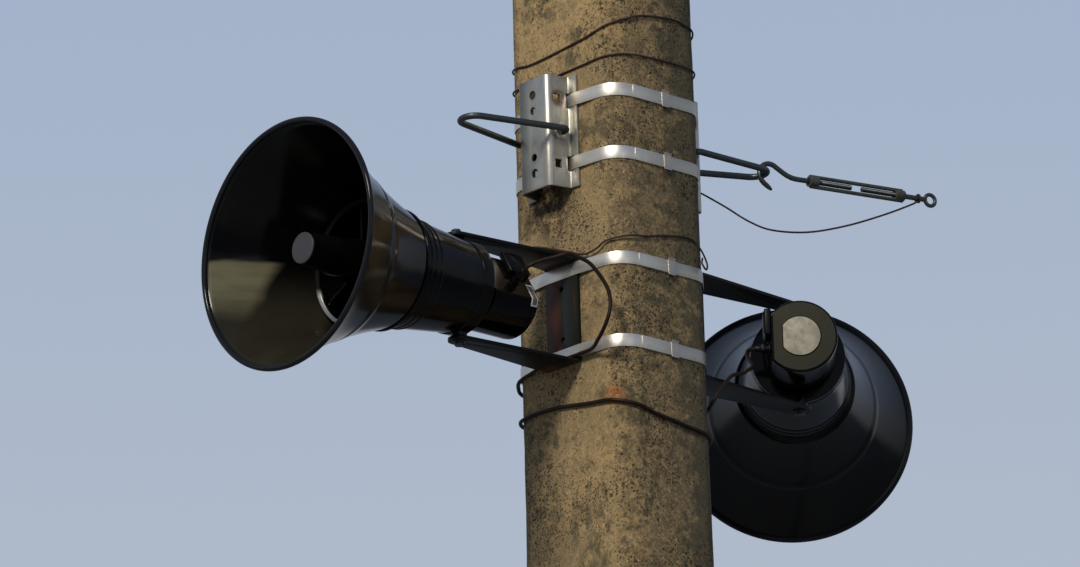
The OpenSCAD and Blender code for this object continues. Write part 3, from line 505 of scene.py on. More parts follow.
def iron_wire():
    p = Paint("iron_wire")
    film = p.noise(120, 4, 0.6)
    body = p.mix(p.between(film, 0.4, 0.7), settings().pole_leads.iron, linear("#43291a"))
    return p.finish(base_color=body, metallic=0.3, roughness=0.65, normal=p.bump(film, 0.0004, 0.5))


def bright_ring():
    """Machined metal, bright below and painted dark above; the dark upper part is painted shade."""
    horn = settings().pole_horns
    p = Paint("bare_ring")
    lines = p.streaks(300, 90, 90, 3)
    shade_above = p.between(p.axis("Z") + p.noise(30, 3) * 0.02, HORN_LEVEL - 0.03, HORN_LEVEL - 0.008)
    body = p.coats(horn.bare, (lines, 0.4, 0.7, 0.35, shaded(horn.bare, 0.5)))
    return p.finish(
        base_color=p.mix(shade_above, body, horn.gloss),
        metallic=1 - shade_above,
        roughness=lines * 0.12 + 0.24 + shade_above * 0.4,
        specular_ior_level=0.1,
        normal=p.bump(lines, 0.0002, 0.3),
    )


def window_stains(side):
    """Rust round the upper window of a bracket, on the side of its walls."""
    low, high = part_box("pole_bracket_" + side)
    x = low.x + 0.02 if side == "left" else high.x - 0.02
    z = (low.z + high.z) / 2 + 0.052
    return [((x, (low.y + high.y) / 2 + y, z), 0.009, 0.017) for y in (-0.034, 0.034)]


MADE = {}


def material(name):
    """One of the materials below, made once."""
    if name not in MADE:
        metal = settings().pole_metals
        horn = settings().pole_horns
        stains = window_stains("left") + window_stains("right")
        # The front plate of the left bracket turns darker and greener towards its far edge
        far_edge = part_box("pole_bracket_left")[1].y - 0.028
        dark_edge_span = (far_edge - 0.03, far_edge + 0.012)
        makers = {
            "concrete": concrete,
            "stainless": stainless,
            "galvanised_bracket": lambda: zinc(name, metal.zinc, 0.3, 0.45, stains, dark_edge_span),
            "galvanised_rod": lambda: zinc(name, metal.dull_zinc, 0.32, 0.55),
            "worn_steel": lambda: zinc(name, shaded(metal.dull_zinc, 0.75), 0.3, 0.9),
            "lichened_zinc": lichened_zinc,
            "yoke_paint": yoke_paint,
            "horn_gloss": gloss_black,
            "driver_paint": gloss_black,
            "bare_ring": bright_ring,
            "plug_cap_metal": lambda: matt_paint("plug_cap", linear("#343436"), 0.42, 0.2),
            "cover_plastic": lambda: matt_paint(name, horn.gloss, 0.3, 0.15, 0.14),
            "rear_cover": lambda: matt_paint(name, horn.driver, 0.55, shine=0.16),
            "lead_sheath": sheath,
            "iron_wire": iron_wire,
            "label": lambda: label_face("blank_label", horn.panel, shaded(horn.panel, 0.66)),
            "sticker_edge": lambda: label_face(name, linear("#d8d6d0"), linear("#b9b7b2")),
            "sticker_panel": lambda: label_face(name, linear("#63625f"), linear("#4d4c4a")),
        }
        MADE[name] = makers[name]()
    return MADE[name]


# Modelling helpers
def only(piece):
    bpy.ops.object.select_all(action="DESELECT")
    piece.hide_set(False)
    piece.select_set(True)
    bpy.context.view_layer.objects.active = piece


@contextmanager
def editing(piece):
    only(piece)
    bpy.ops.object.mode_set(mode="EDIT")
    yield piece
    bpy.ops.object.mode_set(mode="OBJECT")


def pick(piece, kind, test):
    """In edit mode, selects only the vertices, edges or faces for which a test is true."""
    mesh = bmesh.from_edit_mesh(piece.data)
    bpy.ops.mesh.select_mode(type={"verts": "VERT", "edges": "EDGE", "faces": "FACE"}[kind])
    bpy.ops.mesh.select_all(action="DESELECT")
    for element in getattr(mesh, kind):
        element.select_set(test(element))
    mesh.select_flush_mode()
    bmesh.update_edit_mesh(piece.data)


def started(name):
    """The primitive that was just added, under its own name."""
    piece = bpy.context.object
    piece.name = name
    piece.data.name = name
    return piece


def tidy_normals():
    bpy.ops.mesh.select_mode(type="VERT")
    bpy.ops.mesh.select_all(action="SELECT")
    bpy.ops.mesh.remove_doubles(threshold=1e-5)
    bpy.ops.mesh.normals_make_consistent(inside=False)


def modify(piece, kind, **options):
    """Adds a modifier, sets it and applies it."""
    only(piece)
    modifier = piece.modifiers.new(kind.lower(), kind)
    for name, value in options.items():
        setattr(modifier, name, value)
    bpy.ops.object.modifier_apply(modifier=modifier.name)


def rounded_edges(piece, radius, segments=2, degrees=35):
    modify(
        piece, "BEVEL", width=radius, segments=segments, limit_method="ANGLE",
        angle_limit=math.radians(degrees), harden_normals=False, miter_outer="MITER_ARC",
    )


def smoothed(piece, degrees=40):
    only(piece)
    bpy.ops.object.shade_smooth_by_angle(angle=math.radians(degrees))
    return piece


def settled(piece):
    """Leaves the piece's place in its mesh, and its object at the origin."""
    only(piece)
    bpy.ops.object.transform_apply(location=True, rotation=True, scale=True)
    return piece


def moved(piece, *turns):
    """Moves a piece by its transforms, beginning with the last, and settles it."""
    place = Matrix.Identity(4)
    for turn in turns:
        place = place @ turn
    piece.matrix_world = place
    return settled(piece)


def shifted(x, y, z):
    return Matrix.Translation((x, y, z))


def rotated(degrees, axis):
    return Matrix.Rotation(math.radians(degrees), 4, axis)


def dressed(piece, finish, body, *nodes):
    """Gives a piece its finish and its body, and hides the nodes of the frame it stands for."""
    piece.data.materials.clear()
    piece.data.materials.append(material(finish))
    settled(piece)
    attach(piece, body)
    if nodes:
        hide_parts(*nodes)
    return piece


def copied(piece, name):
    only(piece)
    bpy.ops.object.duplicate(linked=False)
    return started(name)


def joined(name, pieces):
    only(pieces[0])
    for piece in pieces:
        piece.select_set(True)
    bpy.ops.object.join()
    return started(name)


@contextmanager
def drawn(name, places):
    """A line of edges through places, left selected in edit mode for the call that widens it."""
    points = [Vector(place) for place in places]
    bpy.ops.mesh.primitive_plane_add(size=0.01, location=points[0])
    piece = started(name)
    with editing(piece):
        bpy.ops.mesh.select_mode(type="VERT")
        bpy.ops.mesh.select_all(action="SELECT")
        bpy.ops.mesh.merge(type="CENTER")
        for a, b in zip(points, points[1:]):
            bpy.ops.mesh.extrude_region_move(TRANSFORM_OT_translate={"value": b - a})
        bpy.ops.mesh.select_all(action="SELECT")
        yield piece
        tidy_normals()
    settled(piece)


def turned(name, outline, steps=128, degrees=40):
    """Spins an outline, given as places along the axis and radii, round the X axis."""
    with drawn(name, [(x, 0, r) for x, r in outline]) as piece:
        bpy.ops.mesh.spin(steps=steps, angle=math.tau, center=(0, 0, 0), axis=(1, 0, 0))
    return smoothed(piece, degrees)


def strip(name, path, width, thickness):
    """A thin strip along places, widened along X."""
    with drawn(name, path) as piece:
        bpy.ops.mesh.extrude_region_move(TRANSFORM_OT_translate={"value": (width, 0, 0)})
    modify(piece, "SOLIDIFY", thickness=thickness, offset=0)
    return smoothed(piece)


def eased(outline, radius, steps=3, closed=True):
    """Rounds the corners of an outline."""
    points = [Vector(p) for p in outline]
    found = []
    for i, corner in enumerate(points):
        before, after = points[i - 1] - corner, points[(i + 1) % len(points)] - corner
        at_end = not closed and i in (0, len(points) - 1)
        if at_end or math.pi - before.angle(after) < 0.25:
            found.append(tuple(corner))
            continue
        tangent = radius * math.tan((math.pi - before.angle(after)) / 2)
        reach = min(tangent, before.length * 0.45, after.length * 0.45)
        first, last = corner + before.normalized() * reach, corner + after.normalized() * reach
        for s in range(steps + 1):
            t = s / steps
            found.append(tuple(first.lerp(corner, t).lerp(corner.lerp(last, t), t)))
    return found


def ring(name, outline, radius, steps=128):
    """A turned piece with rounded corners, its outline closed away from the axis."""
    points = eased(outline, radius)
    return turned(name, [*points, points[0]], steps)


def disc(name, outline, radius, steps=128):
    """A turned piece with rounded corners, its outline from the axis back to the axis."""
    return turned(name, eased(outline, radius, closed=False), steps)


def plate(name, r, back, front, radius):
    """A round plate between two places on the axis."""
    return disc(name, [(back, 0), (back, r), (front, r), (front, 0)], radius)


def sliced(piece, height):
    """Cuts a turned piece off flat at a distance to the side of its axis."""
    with editing(piece):
        bpy.ops.mesh.select_all(action="SELECT")
        bpy.ops.mesh.bisect(plane_co=(0, height, 0), plane_no=(0, 1, 0), use_fill=True, clear_outer=True)
    return smoothed(piece)


def block(name, low, high, radius, segments=3):
    """A rounded block between two corners; millimetres."""
    low, high = Vector(low) * MM, Vector(high) * MM
    bpy.ops.mesh.primitive_cube_add(size=1, location=(low + high) / 2, scale=high - low)
    piece = settled(started(name))
    rounded_edges(piece, radius * MM, segments)
    return smoothed(piece)


def cheese(name, place, along, radius, height, sides=32, edge=0.4):
    """A short turned or hexagonal head that stands on a place; millimetres."""
    turn = Vector(along).to_track_quat("Z", "Y").to_euler()
    middle = (Vector(place) + Vector(along) * height / 2) * MM
    bpy.ops.mesh.primitive_cylinder_add(
        vertices=sides, radius=radius * MM, depth=height * MM, location=middle, rotation=turn)
    piece = settled(started(name))
    rounded_edges(piece, edge * MM, 2, 50)
    return smoothed(piece)


def softened(node, name, radius):
    """A copy of a node of the frame, merged, its flat faces joined up and its edges rounded."""
    only(FRAME["nodes"][node])
    bpy.ops.object.duplicate(linked=False)
    piece = started(name)
    piece.parent = None
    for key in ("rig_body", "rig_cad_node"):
        del piece[key]
    with editing(piece):
        bpy.ops.mesh.select_all(action="SELECT")
        bpy.ops.mesh.customdata_custom_splitnormals_clear()
        bpy.ops.mesh.remove_doubles(threshold=1e-5)
        bpy.ops.mesh.dissolve_limited(angle_limit=math.radians(0.5))
    rounded_edges(piece, radius)
    return smoothed(piece, 35)


def tube(name, points, diameter, sides=3, thinned=()):
    """A round cord along points, as a mesh with closed ends; its first places may be thinned by shares."""
    line = bpy.data.curves.new(name, "CURVE")
    line.dimensions = "3D"
    line.bevel_depth = diameter / 2
    line.bevel_resolution = sides
    line.use_fill_caps = True
    spline = line.splines.new("POLY")
    spline.points.add(len(points) - 1)
    for point, place in zip(spline.points, points):
        point.co = (*place, 1)
    for point, part in zip(spline.points, thinned):
        point.radius = part
    piece = bpy.data.objects.new(name, line)
    bpy.context.scene.collection.objects.link(piece)
    only(piece)
    bpy.ops.object.convert(target="MESH")
    piece = started(name)
    with editing(piece):
        tidy_normals()
    return smoothed(piece, 60)


def flowing(points, steps=5):
    """Points of one smooth curve through the given ones."""
    ends = [2 * points[0] - points[1], *points, 2 * points[-1] - points[-2]]
    found = []
    for i in range(len(points) - 1):
        a, b, c, d = ends[i:i + 4]
        for s in range(steps):
            t = s / steps
            square, cube = (2 * a - 5 * b + 4 * c - d) * t * t, (3 * b - a - 3 * c + d) * t ** 3
            found.append((2 * b + (c - a) * t + square + cube) / 2)
    return [*found, points[-1].copy()]


def run_length(points):
    return sum((b - a).length for a, b in zip(points, points[1:]))


# Places on the pole, at a level in millimetres above the horns' axes and a height over the concrete
def half_sizes(z):
    cast = settings().pole_casting
    rise = (HORN_LEVEL + z) / POLE_HEAD.z
    return [(foot + (top - foot) * rise) / 2 for foot, top in (
        (POLE_HEAD.x - POLE_FOOT.x, cast.top_depth), (POLE_HEAD.y - POLE_FOOT.y, cast.top_width))]


def on_face(side, along, level, over):
    """A place on the left, right, near or far face; millimetres."""
    z = level * MM
    depth, width = half_sizes(z)
    a, h = along * MM, over * MM
    x, y = {
        "left": (-depth - h, a), "right": (depth + h, a), "near": (a, -width - h), "far": (a, width + h),
    }[side]
    return Vector((x, y, HORN_LEVEL + z))


def on_corner(side, end, degrees, level, over):
    """A place round one rounded corner; side and end are the signs of its X and Y."""
    z = level * MM
    depth, width = half_sizes(z)
    corner = settings().pole_casting.corner
    r = corner + over * MM
    a = math.radians(degrees)
    x, y = side * (depth - corner) + r * math.cos(a), end * (width - corner) + r * math.sin(a)
    return Vector((x, y, HORN_LEVEL + z))


def about(pivot, x, y, z):
    return pivot + Vector((x, y, z)) * MM


def polar(pivot, degrees, r, z):
    return about(pivot, r * math.cos(math.radians(degrees)), r * math.sin(math.radians(degrees)), z)


def above(x, y, z):
    """A place given by its level above the horns' axes; millimetres."""
    return Vector((x * MM, y * MM, HORN_LEVEL + z * MM))


# How far the middle of a lead and of a wire lies over the concrete; millimetres
LEAD_OVER = 3.3
WIRE_OVER = 2.0


def pulled():
    """The line in which the wire pulls the right bail: its start inside the bail, and its way as X."""
    low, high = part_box("pole_bracket_right")
    return shifted(low.x + 0.016, (low.y + high.y) / 2, (low.z + high.z) / 2) @ rotated(-13, "Z")


def left_lead_route():
    out_of_gland = ((78, -62.28, 26.72), (78, -67.48, 29.72), (81, -74, 33), (88, -80, 37))
    return [
        *[about(LEFT_PIVOT, *p) for p in out_of_gland],
        *[polar(LEFT_PIVOT, -42, r, z) for r, z in ((131, 41), (148, 45), (165, 49.2))],
        *[above(*p) for p in (
            (-174, -115, 46), (-157, -122, 38), (-143, -128, 21), (-133, -134, 0), (-130, -136, -22),
            (-132, -132, -44), (-130, -118, -60), (-122, -98, -68))],
        *[on_face("left", *p) for p in (
            (-70, -72, 12), (-40, -73, 11), (0, -73, 11), (40, -73, 11), (68, -75, 8))],
        *[on_corner(-1, 1, *p) for p in ((160, -79, 6), (135, -84, 5), (110, -89, LEAD_OVER + 1))],
        *[on_face("far", *p) for p in (
            (-36, -94, LEAD_OVER + 0.5), (-8, -99, LEAD_OVER), (12, -112, LEAD_OVER), (8, -128, LEAD_OVER),
            (-12, -137, LEAD_OVER), (-30, -139, LEAD_OVER))],
    ]


def wrap_route():
    return [
        on_face("far", -30, -139, LEAD_OVER),
        *[on_corner(-1, 1, a, -140, LEAD_OVER) for a in (100, 125, 150, 175)],
        *[on_face("left", *p, LEAD_OVER) for p in ((60, -139), (12, -142), (-54, -152))],
        *[on_corner(-1, -1, a, -156 - (a - 185) / 7, LEAD_OVER) for a in (185, 205, 225, 245, 265)],
        *[on_face("near", *p, LEAD_OVER) for p in ((-35, -174), (0, -178), (36, -183))],
        *[on_corner(1, -1, a, -186 - (a - 275) / 12, LEAD_OVER) for a in (275, 295, 315, 335, 355)],
        on_face("right", -70, -191, LEAD_OVER),
    ]


def right_lead_route():
    out_of_gland = (
        (-102.21, -12.93, -8), (-106.66, -8.92, -8), (-112, -7, -11), (-117, -10, -19), (-121, -19, -31))
    return [
        *[about(RIGHT_PIVOT, *p) for p in out_of_gland],
        *[polar(RIGHT_PIVOT, 194, r, z) for r, z in ((131, -45), (148, -56), (160, -63.2))],
        *[above(*p) for p in ((150, -102, -72), (130, -107, -89), (114, -108, -106), (106, -102, -124))],
        on_face("right", -78, -150, 5),
        *[on_face("right", *p, LEAD_OVER) for p in ((-52, -176), (-50, -190), (-70, -191))],
    ]


def tie_route():
    return [
        *[on_face("left", *p, WIRE_OVER) for p in ((60, 124), (36, 116), (-8, 99))],
        *[on_face("left", *p, WIRE_OVER + 4) for p in ((-51, 82), (-80, 84))],
        *[on_corner(-1, -1, a, 92 + (a - 195) / 8, WIRE_OVER + 2) for a in (195, 225, 255)],
        *[on_face("near", *p, WIRE_OVER) for p in ((-40, 104), (0, 113), (49, 119))],
        *[on_face("near", *p) for p in (
            (70, 106, WIRE_OVER + 1), (80, 84, WIRE_OVER + 4), (74, 72, WIRE_OVER + 8),
            (66, 80, WIRE_OVER + 8), (70, 90, WIRE_OVER + 5))],
    ]


def bond_route():
    leads = settings().pole_leads
    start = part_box("pole_bracket_right")[1].x + leads.clearance + leads.wire / 2
    winding = []
    for i in range(13):
        turn, reach = math.radians(-100 + 45 * i), 432 + 0.45 * i
        winding.append(pulled() @ (Vector((reach, 5.9 * math.cos(turn), 5.9 * math.sin(turn))) * MM))
    return [*[above(*p) for p in (
        (start / MM, -48, 234), (152, -55, 227), (182, -68, 211), (222, -75, 195), (265, -81, 188),
        (330, -92, 195), (400, -106, 216), (470, -118, 245), (518, -127, 268))], *winding]


def partway(a, b, share):
    return a + (b - a) * share


def corner_run(side, end, first, low, high):
    return [on_corner(side, end, first + 28 * i, partway(low, high, i / 3), WIRE_OVER) for i in range(4)]


def ring_route(left, near, right):
    return [
        *[on_face("far", y, left + 8, WIRE_OVER) for y in (-14, -36)],
        *corner_run(-1, 1, 93, left + 7, left + 3),
        on_face("left", 50, left, WIRE_OVER),
        on_face("left", -50, partway(left, near, 0.15), WIRE_OVER),
        *corner_run(-1, -1, 183, partway(left, near, 0.25), partway(left, near, 0.65)),
        on_face("near", -30, partway(left, near, 0.85), WIRE_OVER),
        on_face("near", 30, near, WIRE_OVER),
        *corner_run(1, -1, 273, partway(near, right, 0.15), partway(near, right, 0.55)),
        on_face("right", -50, partway(near, right, 0.75), WIRE_OVER),
        on_face("right", 50, right, WIRE_OVER),
        *corner_run(1, 1, 3, right, right),
        on_face("far", 30, right, WIRE_OVER),
        on_face("far", -8, left + 14, WIRE_OVER),
    ]


# Operators, one for the stage and one for each group of pieces
class POLE_OT_stage(bpy.types.Operator):
    """Sets the camera, the floor and the light"""
    bl_idname = "pole.stage"
    bl_label = "Stage"

    def execute(self, context):
        self.camera(context)
        self.surroundings(context)
        self.floor(context)
        self.lamps(context)
        return {"FINISHED"}

    def camera(self, context):
        stage = context.scene.pole_stage
        a, e, roll = stage.azimuth, stage.elevation, stage.roll
        ahead = Vector((math.sin(a) * math.cos(e), math.cos(a) * math.cos(e), math.sin(e)))
        right = Vector((math.cos(a), -math.sin(a), 0))
        up = right.cross(ahead)
        leaning_up = math.cos(roll) * up + math.sin(roll) * right
        leaning_right = math.cos(roll) * right - math.sin(roll) * up
        middle = Vector((0, 0, HORN_LEVEL))
        place = middle - stage.distance * ahead
        aim = middle - stage.aim_left * leaning_right + stage.aim_up * leaning_up
        back = (place - aim).normalized()
        side = leaning_up.cross(back).normalized()
        turn = Matrix((side, back.cross(side), back)).transposed()
        bpy.ops.object.camera_add(location=place, rotation=turn.to_euler())
        camera = started("camera")
        camera.data.lens = stage.lens
        camera.data.sensor_width = 36
        camera.data.clip_end = 200
        context.scene.camera = camera

    def surroundings(self, context):
        scene = context.scene
        stage = scene.pole_stage
        scene.world = bpy.data.worlds.new("overcast")
        p = Paint("overcast", scene.world)
        height = p.axis("Z") * 0.5 + 0.5
        sky = p.node("ValToRGB", {"stops": (
            (0.0, (0.16, 0.16, 0.155)), (0.49, (0.22, 0.22, 0.215)), (0.53, (0.5, 0.52, 0.56)),
            (0.636, stage.low_sky), (0.676, stage.sky), (0.85, stage.zenith),
        )}, {"Fac": height})
        shader = p.node("Background", {}, {"Color": sky, "Strength": 1.0})
        p.node("OutputWorld", {}, {"Surface": shader})
        scene.view_settings.view_transform = "Standard"

    def floor(self, context):
        bpy.ops.mesh.primitive_plane_add(size=400, location=(0, 0, -0.001))
        floor = started("floor")
        p = Paint("pale_floor")
        shade = p.mix(p.noise(0.6, 4) * 0.2, context.scene.pole_stage.floor, (0.4, 0.4, 0.39))
        floor.data.materials.append(p.finish(base_color=shade, roughness=0.8))

    def lamps(self, context):
        for name, place, power, size, light in (
            ("key", (-11.2, -4.7, 13.6), 1850, 3.0, (1.0, 0.93, 0.82)),
            ("fill", (-3.0, -11.0, 7.0), 30, 4.0, (0.9, 0.95, 1.0)),
        ):
            toward = Vector((0, 0, HORN_LEVEL)) - Vector(place)
            turn = toward.to_track_quat("-Z", "Y").to_euler()
            bpy.ops.object.light_add(type="AREA", location=place, rotation=turn)
            lamp = started(name)
            lamp.data.energy = power
            lamp.data.shape = "DISK"
            lamp.data.size = size
            lamp.data.color = light


class POLE_OT_leads(bpy.types.Operator):
    """Lays the two horns' leads and the stretch that ties them round the pole"""
    bl_idname = "pole.leads"
    bl_label = "Leads"

    def execute(self, context):
        leads = context.scene.pole_leads
        self.crossing("left_speaker_lead", left_lead_route(), leads.lead, "left_horn",
                      (-0.150, 0, 0), (-0.205, 0, 0), ("left_lead", "left_lead_tail"))
        self.crossing("right_speaker_lead", right_lead_route(), leads.lead, "right_horn",
                      (0.150, 0, 0), (0.210, 0, 0), ("right_lead", "right_lead_tail"))
        wrap = tube("tied_lead", flowing(wrap_route()), leads.lead)
        dressed(wrap, "lead_sheath", "mast", "wrap_lead")
        return {"FINISHED"}

    def crossing(self, name, route, diameter, horn, start, end, nodes):
        path = flowing(route)
        piece = tube(name, path, diameter)
        piece.data.materials.append(material("lead_sheath"))
        settled(piece)
        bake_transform(piece)
        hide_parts(*nodes)
        run_length(path)


class POLE_OT_wires(bpy.types.Operator):
    """Lays the iron tie wires and the bond wire"""
    bl_idname = "pole.wires"
    bl_label = "Wires"

    def execute(self, context):
        leads = context.scene.pole_leads
        tie = tube("face_tie_wire", flowing(tie_route()), leads.wire, 2)
        dressed(tie, "iron_wire", "mast", "tie_wire")
        path = flowing(bond_route())
        bond = tube("bonding_wire", path, leads.wire, 2)
        dressed(bond, "iron_wire", "mast", "bond_wire")
        run_length(path)
        rings = [tube("turn", flowing(ring_route(*level)), leads.wire, 2)
                 for level in ((415, 465, 440), (380, 394, 386))]
        dressed(joined("ring_tie_wires", rings), "iron_wire", "mast", "upper_tie_wires")
        return {"FINISHED"}


class POLE_OT_casting(bpy.types.Operator):
    """Models the pole's casting"""
    bl_idname = "pole.casting"
    bl_label = "Pole"

    def execute(self, context):
        cast = context.scene.pole_casting
        size = POLE_HEAD - POLE_FOOT
        bpy.ops.mesh.primitive_cube_add(size=1, location=(POLE_FOOT + POLE_HEAD) / 2, scale=size)
        pole = settled(started("concrete_pole"))
        seen_from = 5.2
        with editing(pole):
            pick(pole, "faces", lambda f: f.normal.z > 0.9)
            bpy.ops.transform.resize(value=(cast.top_depth / size.x, cast.top_width / size.y, 1))
            pick(pole, "edges", lambda e: self.rise(e) > 1)
            bpy.ops.mesh.bevel(offset=cast.corner, segments=10, profile=0.5)
            for level in (seen_from, POLE_HEAD.z - 0.02):
                bpy.ops.mesh.select_all(action="SELECT")
                bpy.ops.mesh.bisect(plane_co=(0, 0, level), plane_no=(0, 0, 1))
            pick(pole, "edges", lambda e: self.foot(e) > seen_from - 0.1 and self.rise(e) > 1)
            bpy.ops.mesh.subdivide(number_cuts=209, smoothness=0)
            pick(pole, "edges", lambda e: self.foot(e) < 0.01 and self.rise(e) > 1)
            bpy.ops.mesh.subdivide(number_cuts=39, smoothness=0)
            pick(pole, "edges", lambda e: self.foot(e) > POLE_HEAD.z - 0.0001)
            bpy.ops.mesh.bevel(offset=cast.bevel, segments=3, profile=0.5)
        self.wear(pole)
        smoothed(pole, 35)
        dressed(pole, "concrete", "mast", "pole")
        return {"FINISHED"}

    def foot(self, edge):
        return min(v.co.z for v in edge.verts)

    def rise(self, edge):
        return max(v.co.z for v in edge.verts) - self.foot(edge)

    def wear(self, pole):
        """Takes a little concrete off the corners, and more where one has crumbled."""
        cast = settings().pole_casting
        crumbled_from, crumbled_to = 5.55, 5.83
        for vertex in pole.data.vertices:
            co = vertex.co
            reaches = zip(co, half_sizes(co.z - HORN_LEVEL))
            at_corner = math.prod((abs(place) - half) / cast.corner + 1 for place, half in reaches)
            if at_corner <= 0 or co.z > POLE_HEAD.z - 0.03:
                continue
            loss = 0.5 + 0.5 * noise.noise(co * 38) + 0.35 * noise.noise(co * 120)
            crumbled = 1.0 if co.x < 0 < co.y and crumbled_from < co.z < crumbled_to else 0.25
            inward = Vector((-math.copysign(1, co.x), -math.copysign(1, co.y), 0)).normalized()
            vertex.co += inward * cast.wear * max(0.0, loss) * crumbled * min(1.0, at_corner * 6)


# Outlines of the horns; how far the cap, the throat ring and the seam lie back from the mouth, in millimetres
CAP_BACK = 37
RING_BACK = 149
SEAM_BACK = 198


def flare(back):
    """Radius of the bell's outside at a distance back from the mouth."""
    horn = settings().pole_horns
    throat, rate = 0.084, 0.87
    throat_back = horn.bell_length + 0.023
    rim = horn.mouth - horn.bead / 2
    return throat + (rim - throat) * (math.exp(rate * (1 - back / throat_back)) - 1) / (math.exp(rate) - 1)


def crease(back):
    """Height of the stiffening crease pressed into the bell's back."""
    horn = settings().pole_horns
    apart = abs(flare(back) - horn.crease) / 0.0035
    return 0.0011 * math.cos(apart * math.pi / 2) if apart < 1 else 0


def station(back, r):
    return (settings().pole_horns.mouth_to_pivot - back, r)


def stations(*pairs):
    """An outline from distances back from the mouth and radii, in millimetres."""
    return [station(back * MM, r * MM) for back, r in pairs]


def arc(x, r, radius, start, end, steps):
    turns = [math.radians(start + (end - start) * i / steps) for i in range(steps + 1)]
    return [(x + radius * math.cos(t), r + radius * math.sin(t)) for t in turns]


def bell_outline():
    """Up the outside from the seam, round the rolled rim and back down the inside."""
    horn = settings().pole_horns
    wall, steps = 0.002, 60
    joint_back = 0.0095
    backs = [horn.bell_length + (joint_back - horn.bell_length) * i / steps for i in range(steps + 1)]
    outside = [station(b, flare(b) + crease(b)) for b in backs]
    x, r = station(horn.bead, horn.mouth - horn.bead)
    rim = arc(x, r, horn.bead, 150, -128, 16)
    inside = [station(b, flare(b) - wall) for b in reversed(backs)]
    return [*outside, *rim, *inside, outside[0]]


def both_horns(piece, name, finish, *nodes, on_driver=False):
    """Copies a piece, drawn with its pivots at the origin, to both horns."""
    for side, pivot, aim in (("left", LEFT_PIVOT, 180), ("right", RIGHT_PIVOT, 48)):
        roll = settings().pole_horns.left_roll if on_driver and side == "left" else 0
        made = moved(
            copied(piece, f"{side}_{name}"), Matrix.Translation(pivot), rotated(aim, "Z"),
            Matrix.Rotation(roll, 4, "X"))
        dressed(made, finish, f"{side}_horn", *[f"{side}_{node}" for node in nodes])
    bpy.data.objects.remove(piece)


class POLE_OT_bells(bpy.types.Operator):
    """Spins the horns' bells with their rolled rims"""
    bl_idname = "pole.bells"
    bl_label = "Bells"

    def execute(self, context):
        horn = context.scene.pole_horns
        bell = turned("bell", bell_outline(), horn.spin_steps)
        inside = bell.data.attributes.new("inside", "FLOAT", "POINT")
        rim = bell.data.attributes.new("rim", "FLOAT", "POINT")
        for vertex in bell.data.vertices:
            back = horn.mouth_to_pivot - vertex.co.x
            r = math.hypot(vertex.co.y, vertex.co.z)
            inside.data[vertex.index].value = float(back > 0.008 and r < flare(back) - 0.001)
            # The rim value marks the bead, which the paint lightens as a painted highlight
            off_bead = math.hypot(back - horn.bead, r - horn.mouth + horn.bead)
            rim.data[vertex.index].value = float(off_bead < horn.bead * 1.05)
        both_horns(bell, "flared_bell", "horn_gloss", "bell")
        return {"FINISHED"}


class POLE_OT_bodies(bpy.types.Operator):
    """Models the cast bodies behind the bells, with their skirts, ridges, flanges and lugs"""
    bl_idname = "pole.bodies"
    bl_label = "Horn bodies"

    def outside(self, back):
        """Radius of the casting, with three soft ridges, at a distance from the mouth; millimetres."""
        neck, waist = (221, 84), (290, 75)
        if back < neck[0]:
            wall = neck[1] + (neck[0] - back) / 13
        elif back < waist[0]:
            wall = neck[1] - 9 * (back - neck[0]) / 69
        else:
            wall = waist[1] - 5 * (back - waist[0]) / 40
        ridges = [abs(back - middle) / 2.8 for middle in (215, 226, 237)]
        return wall + sum(1.4 * (1 + math.cos(r * math.pi)) / 2 for r in ridges if r < 1)

    def execute(self, context):
        skirt_outside = [(RING_BACK, 95), (SEAM_BACK, 86)]
        collar = [(SEAM_BACK, 93), (202.5, 93), (204.5, 91), (206, 86.5)]
        casting = [(b, self.outside(b)) for b in (*(208 + 0.5 * i for i in range(70)), 260, 275, 290, 305)]
        flange = [(329, 70), (330.5, 72), (350, 72), (350, 14), (345, 14), (345, 67), (330, 67)]
        inside = [(290, 72), (221, 81), (SEAM_BACK, 83), (RING_BACK, 92)]
        pieces = [ring("body", stations(*skirt_outside, *collar, *casting, *flange, *inside), 0.0012)]
        for side in (1, -1):
            pieces.append(cheese("lug", (0, 0, side * 60), (0, 0, side), 12, 18.2, 48, 1.2))
        both_horns(joined("body", pieces), "cast_body", "horn_gloss", "horn_body")
        self.bolts()
        return {"FINISHED"}

    def bolts(self):
        pieces = []
        for side in (1, -1):
            for name, level, radius, height, sides, edge in (
                ("shank", 66, 4, 18.8, 24, 0.3), ("washer", 83.8, 10, 1.6, 40, 0.3),
                ("spring_washer", 85.4, 7, 1.2, 32, 0.3), ("head", 86.4, 7.5, 4.5, 6, 0.9),
            ):
                pieces.append(cheese(name, (0, 0, side * level), (0, 0, side), radius, height, sides, edge))
        both_horns(joined("bolts", pieces), "hexagon_bolts", "worn_steel", "pivot_bolts")


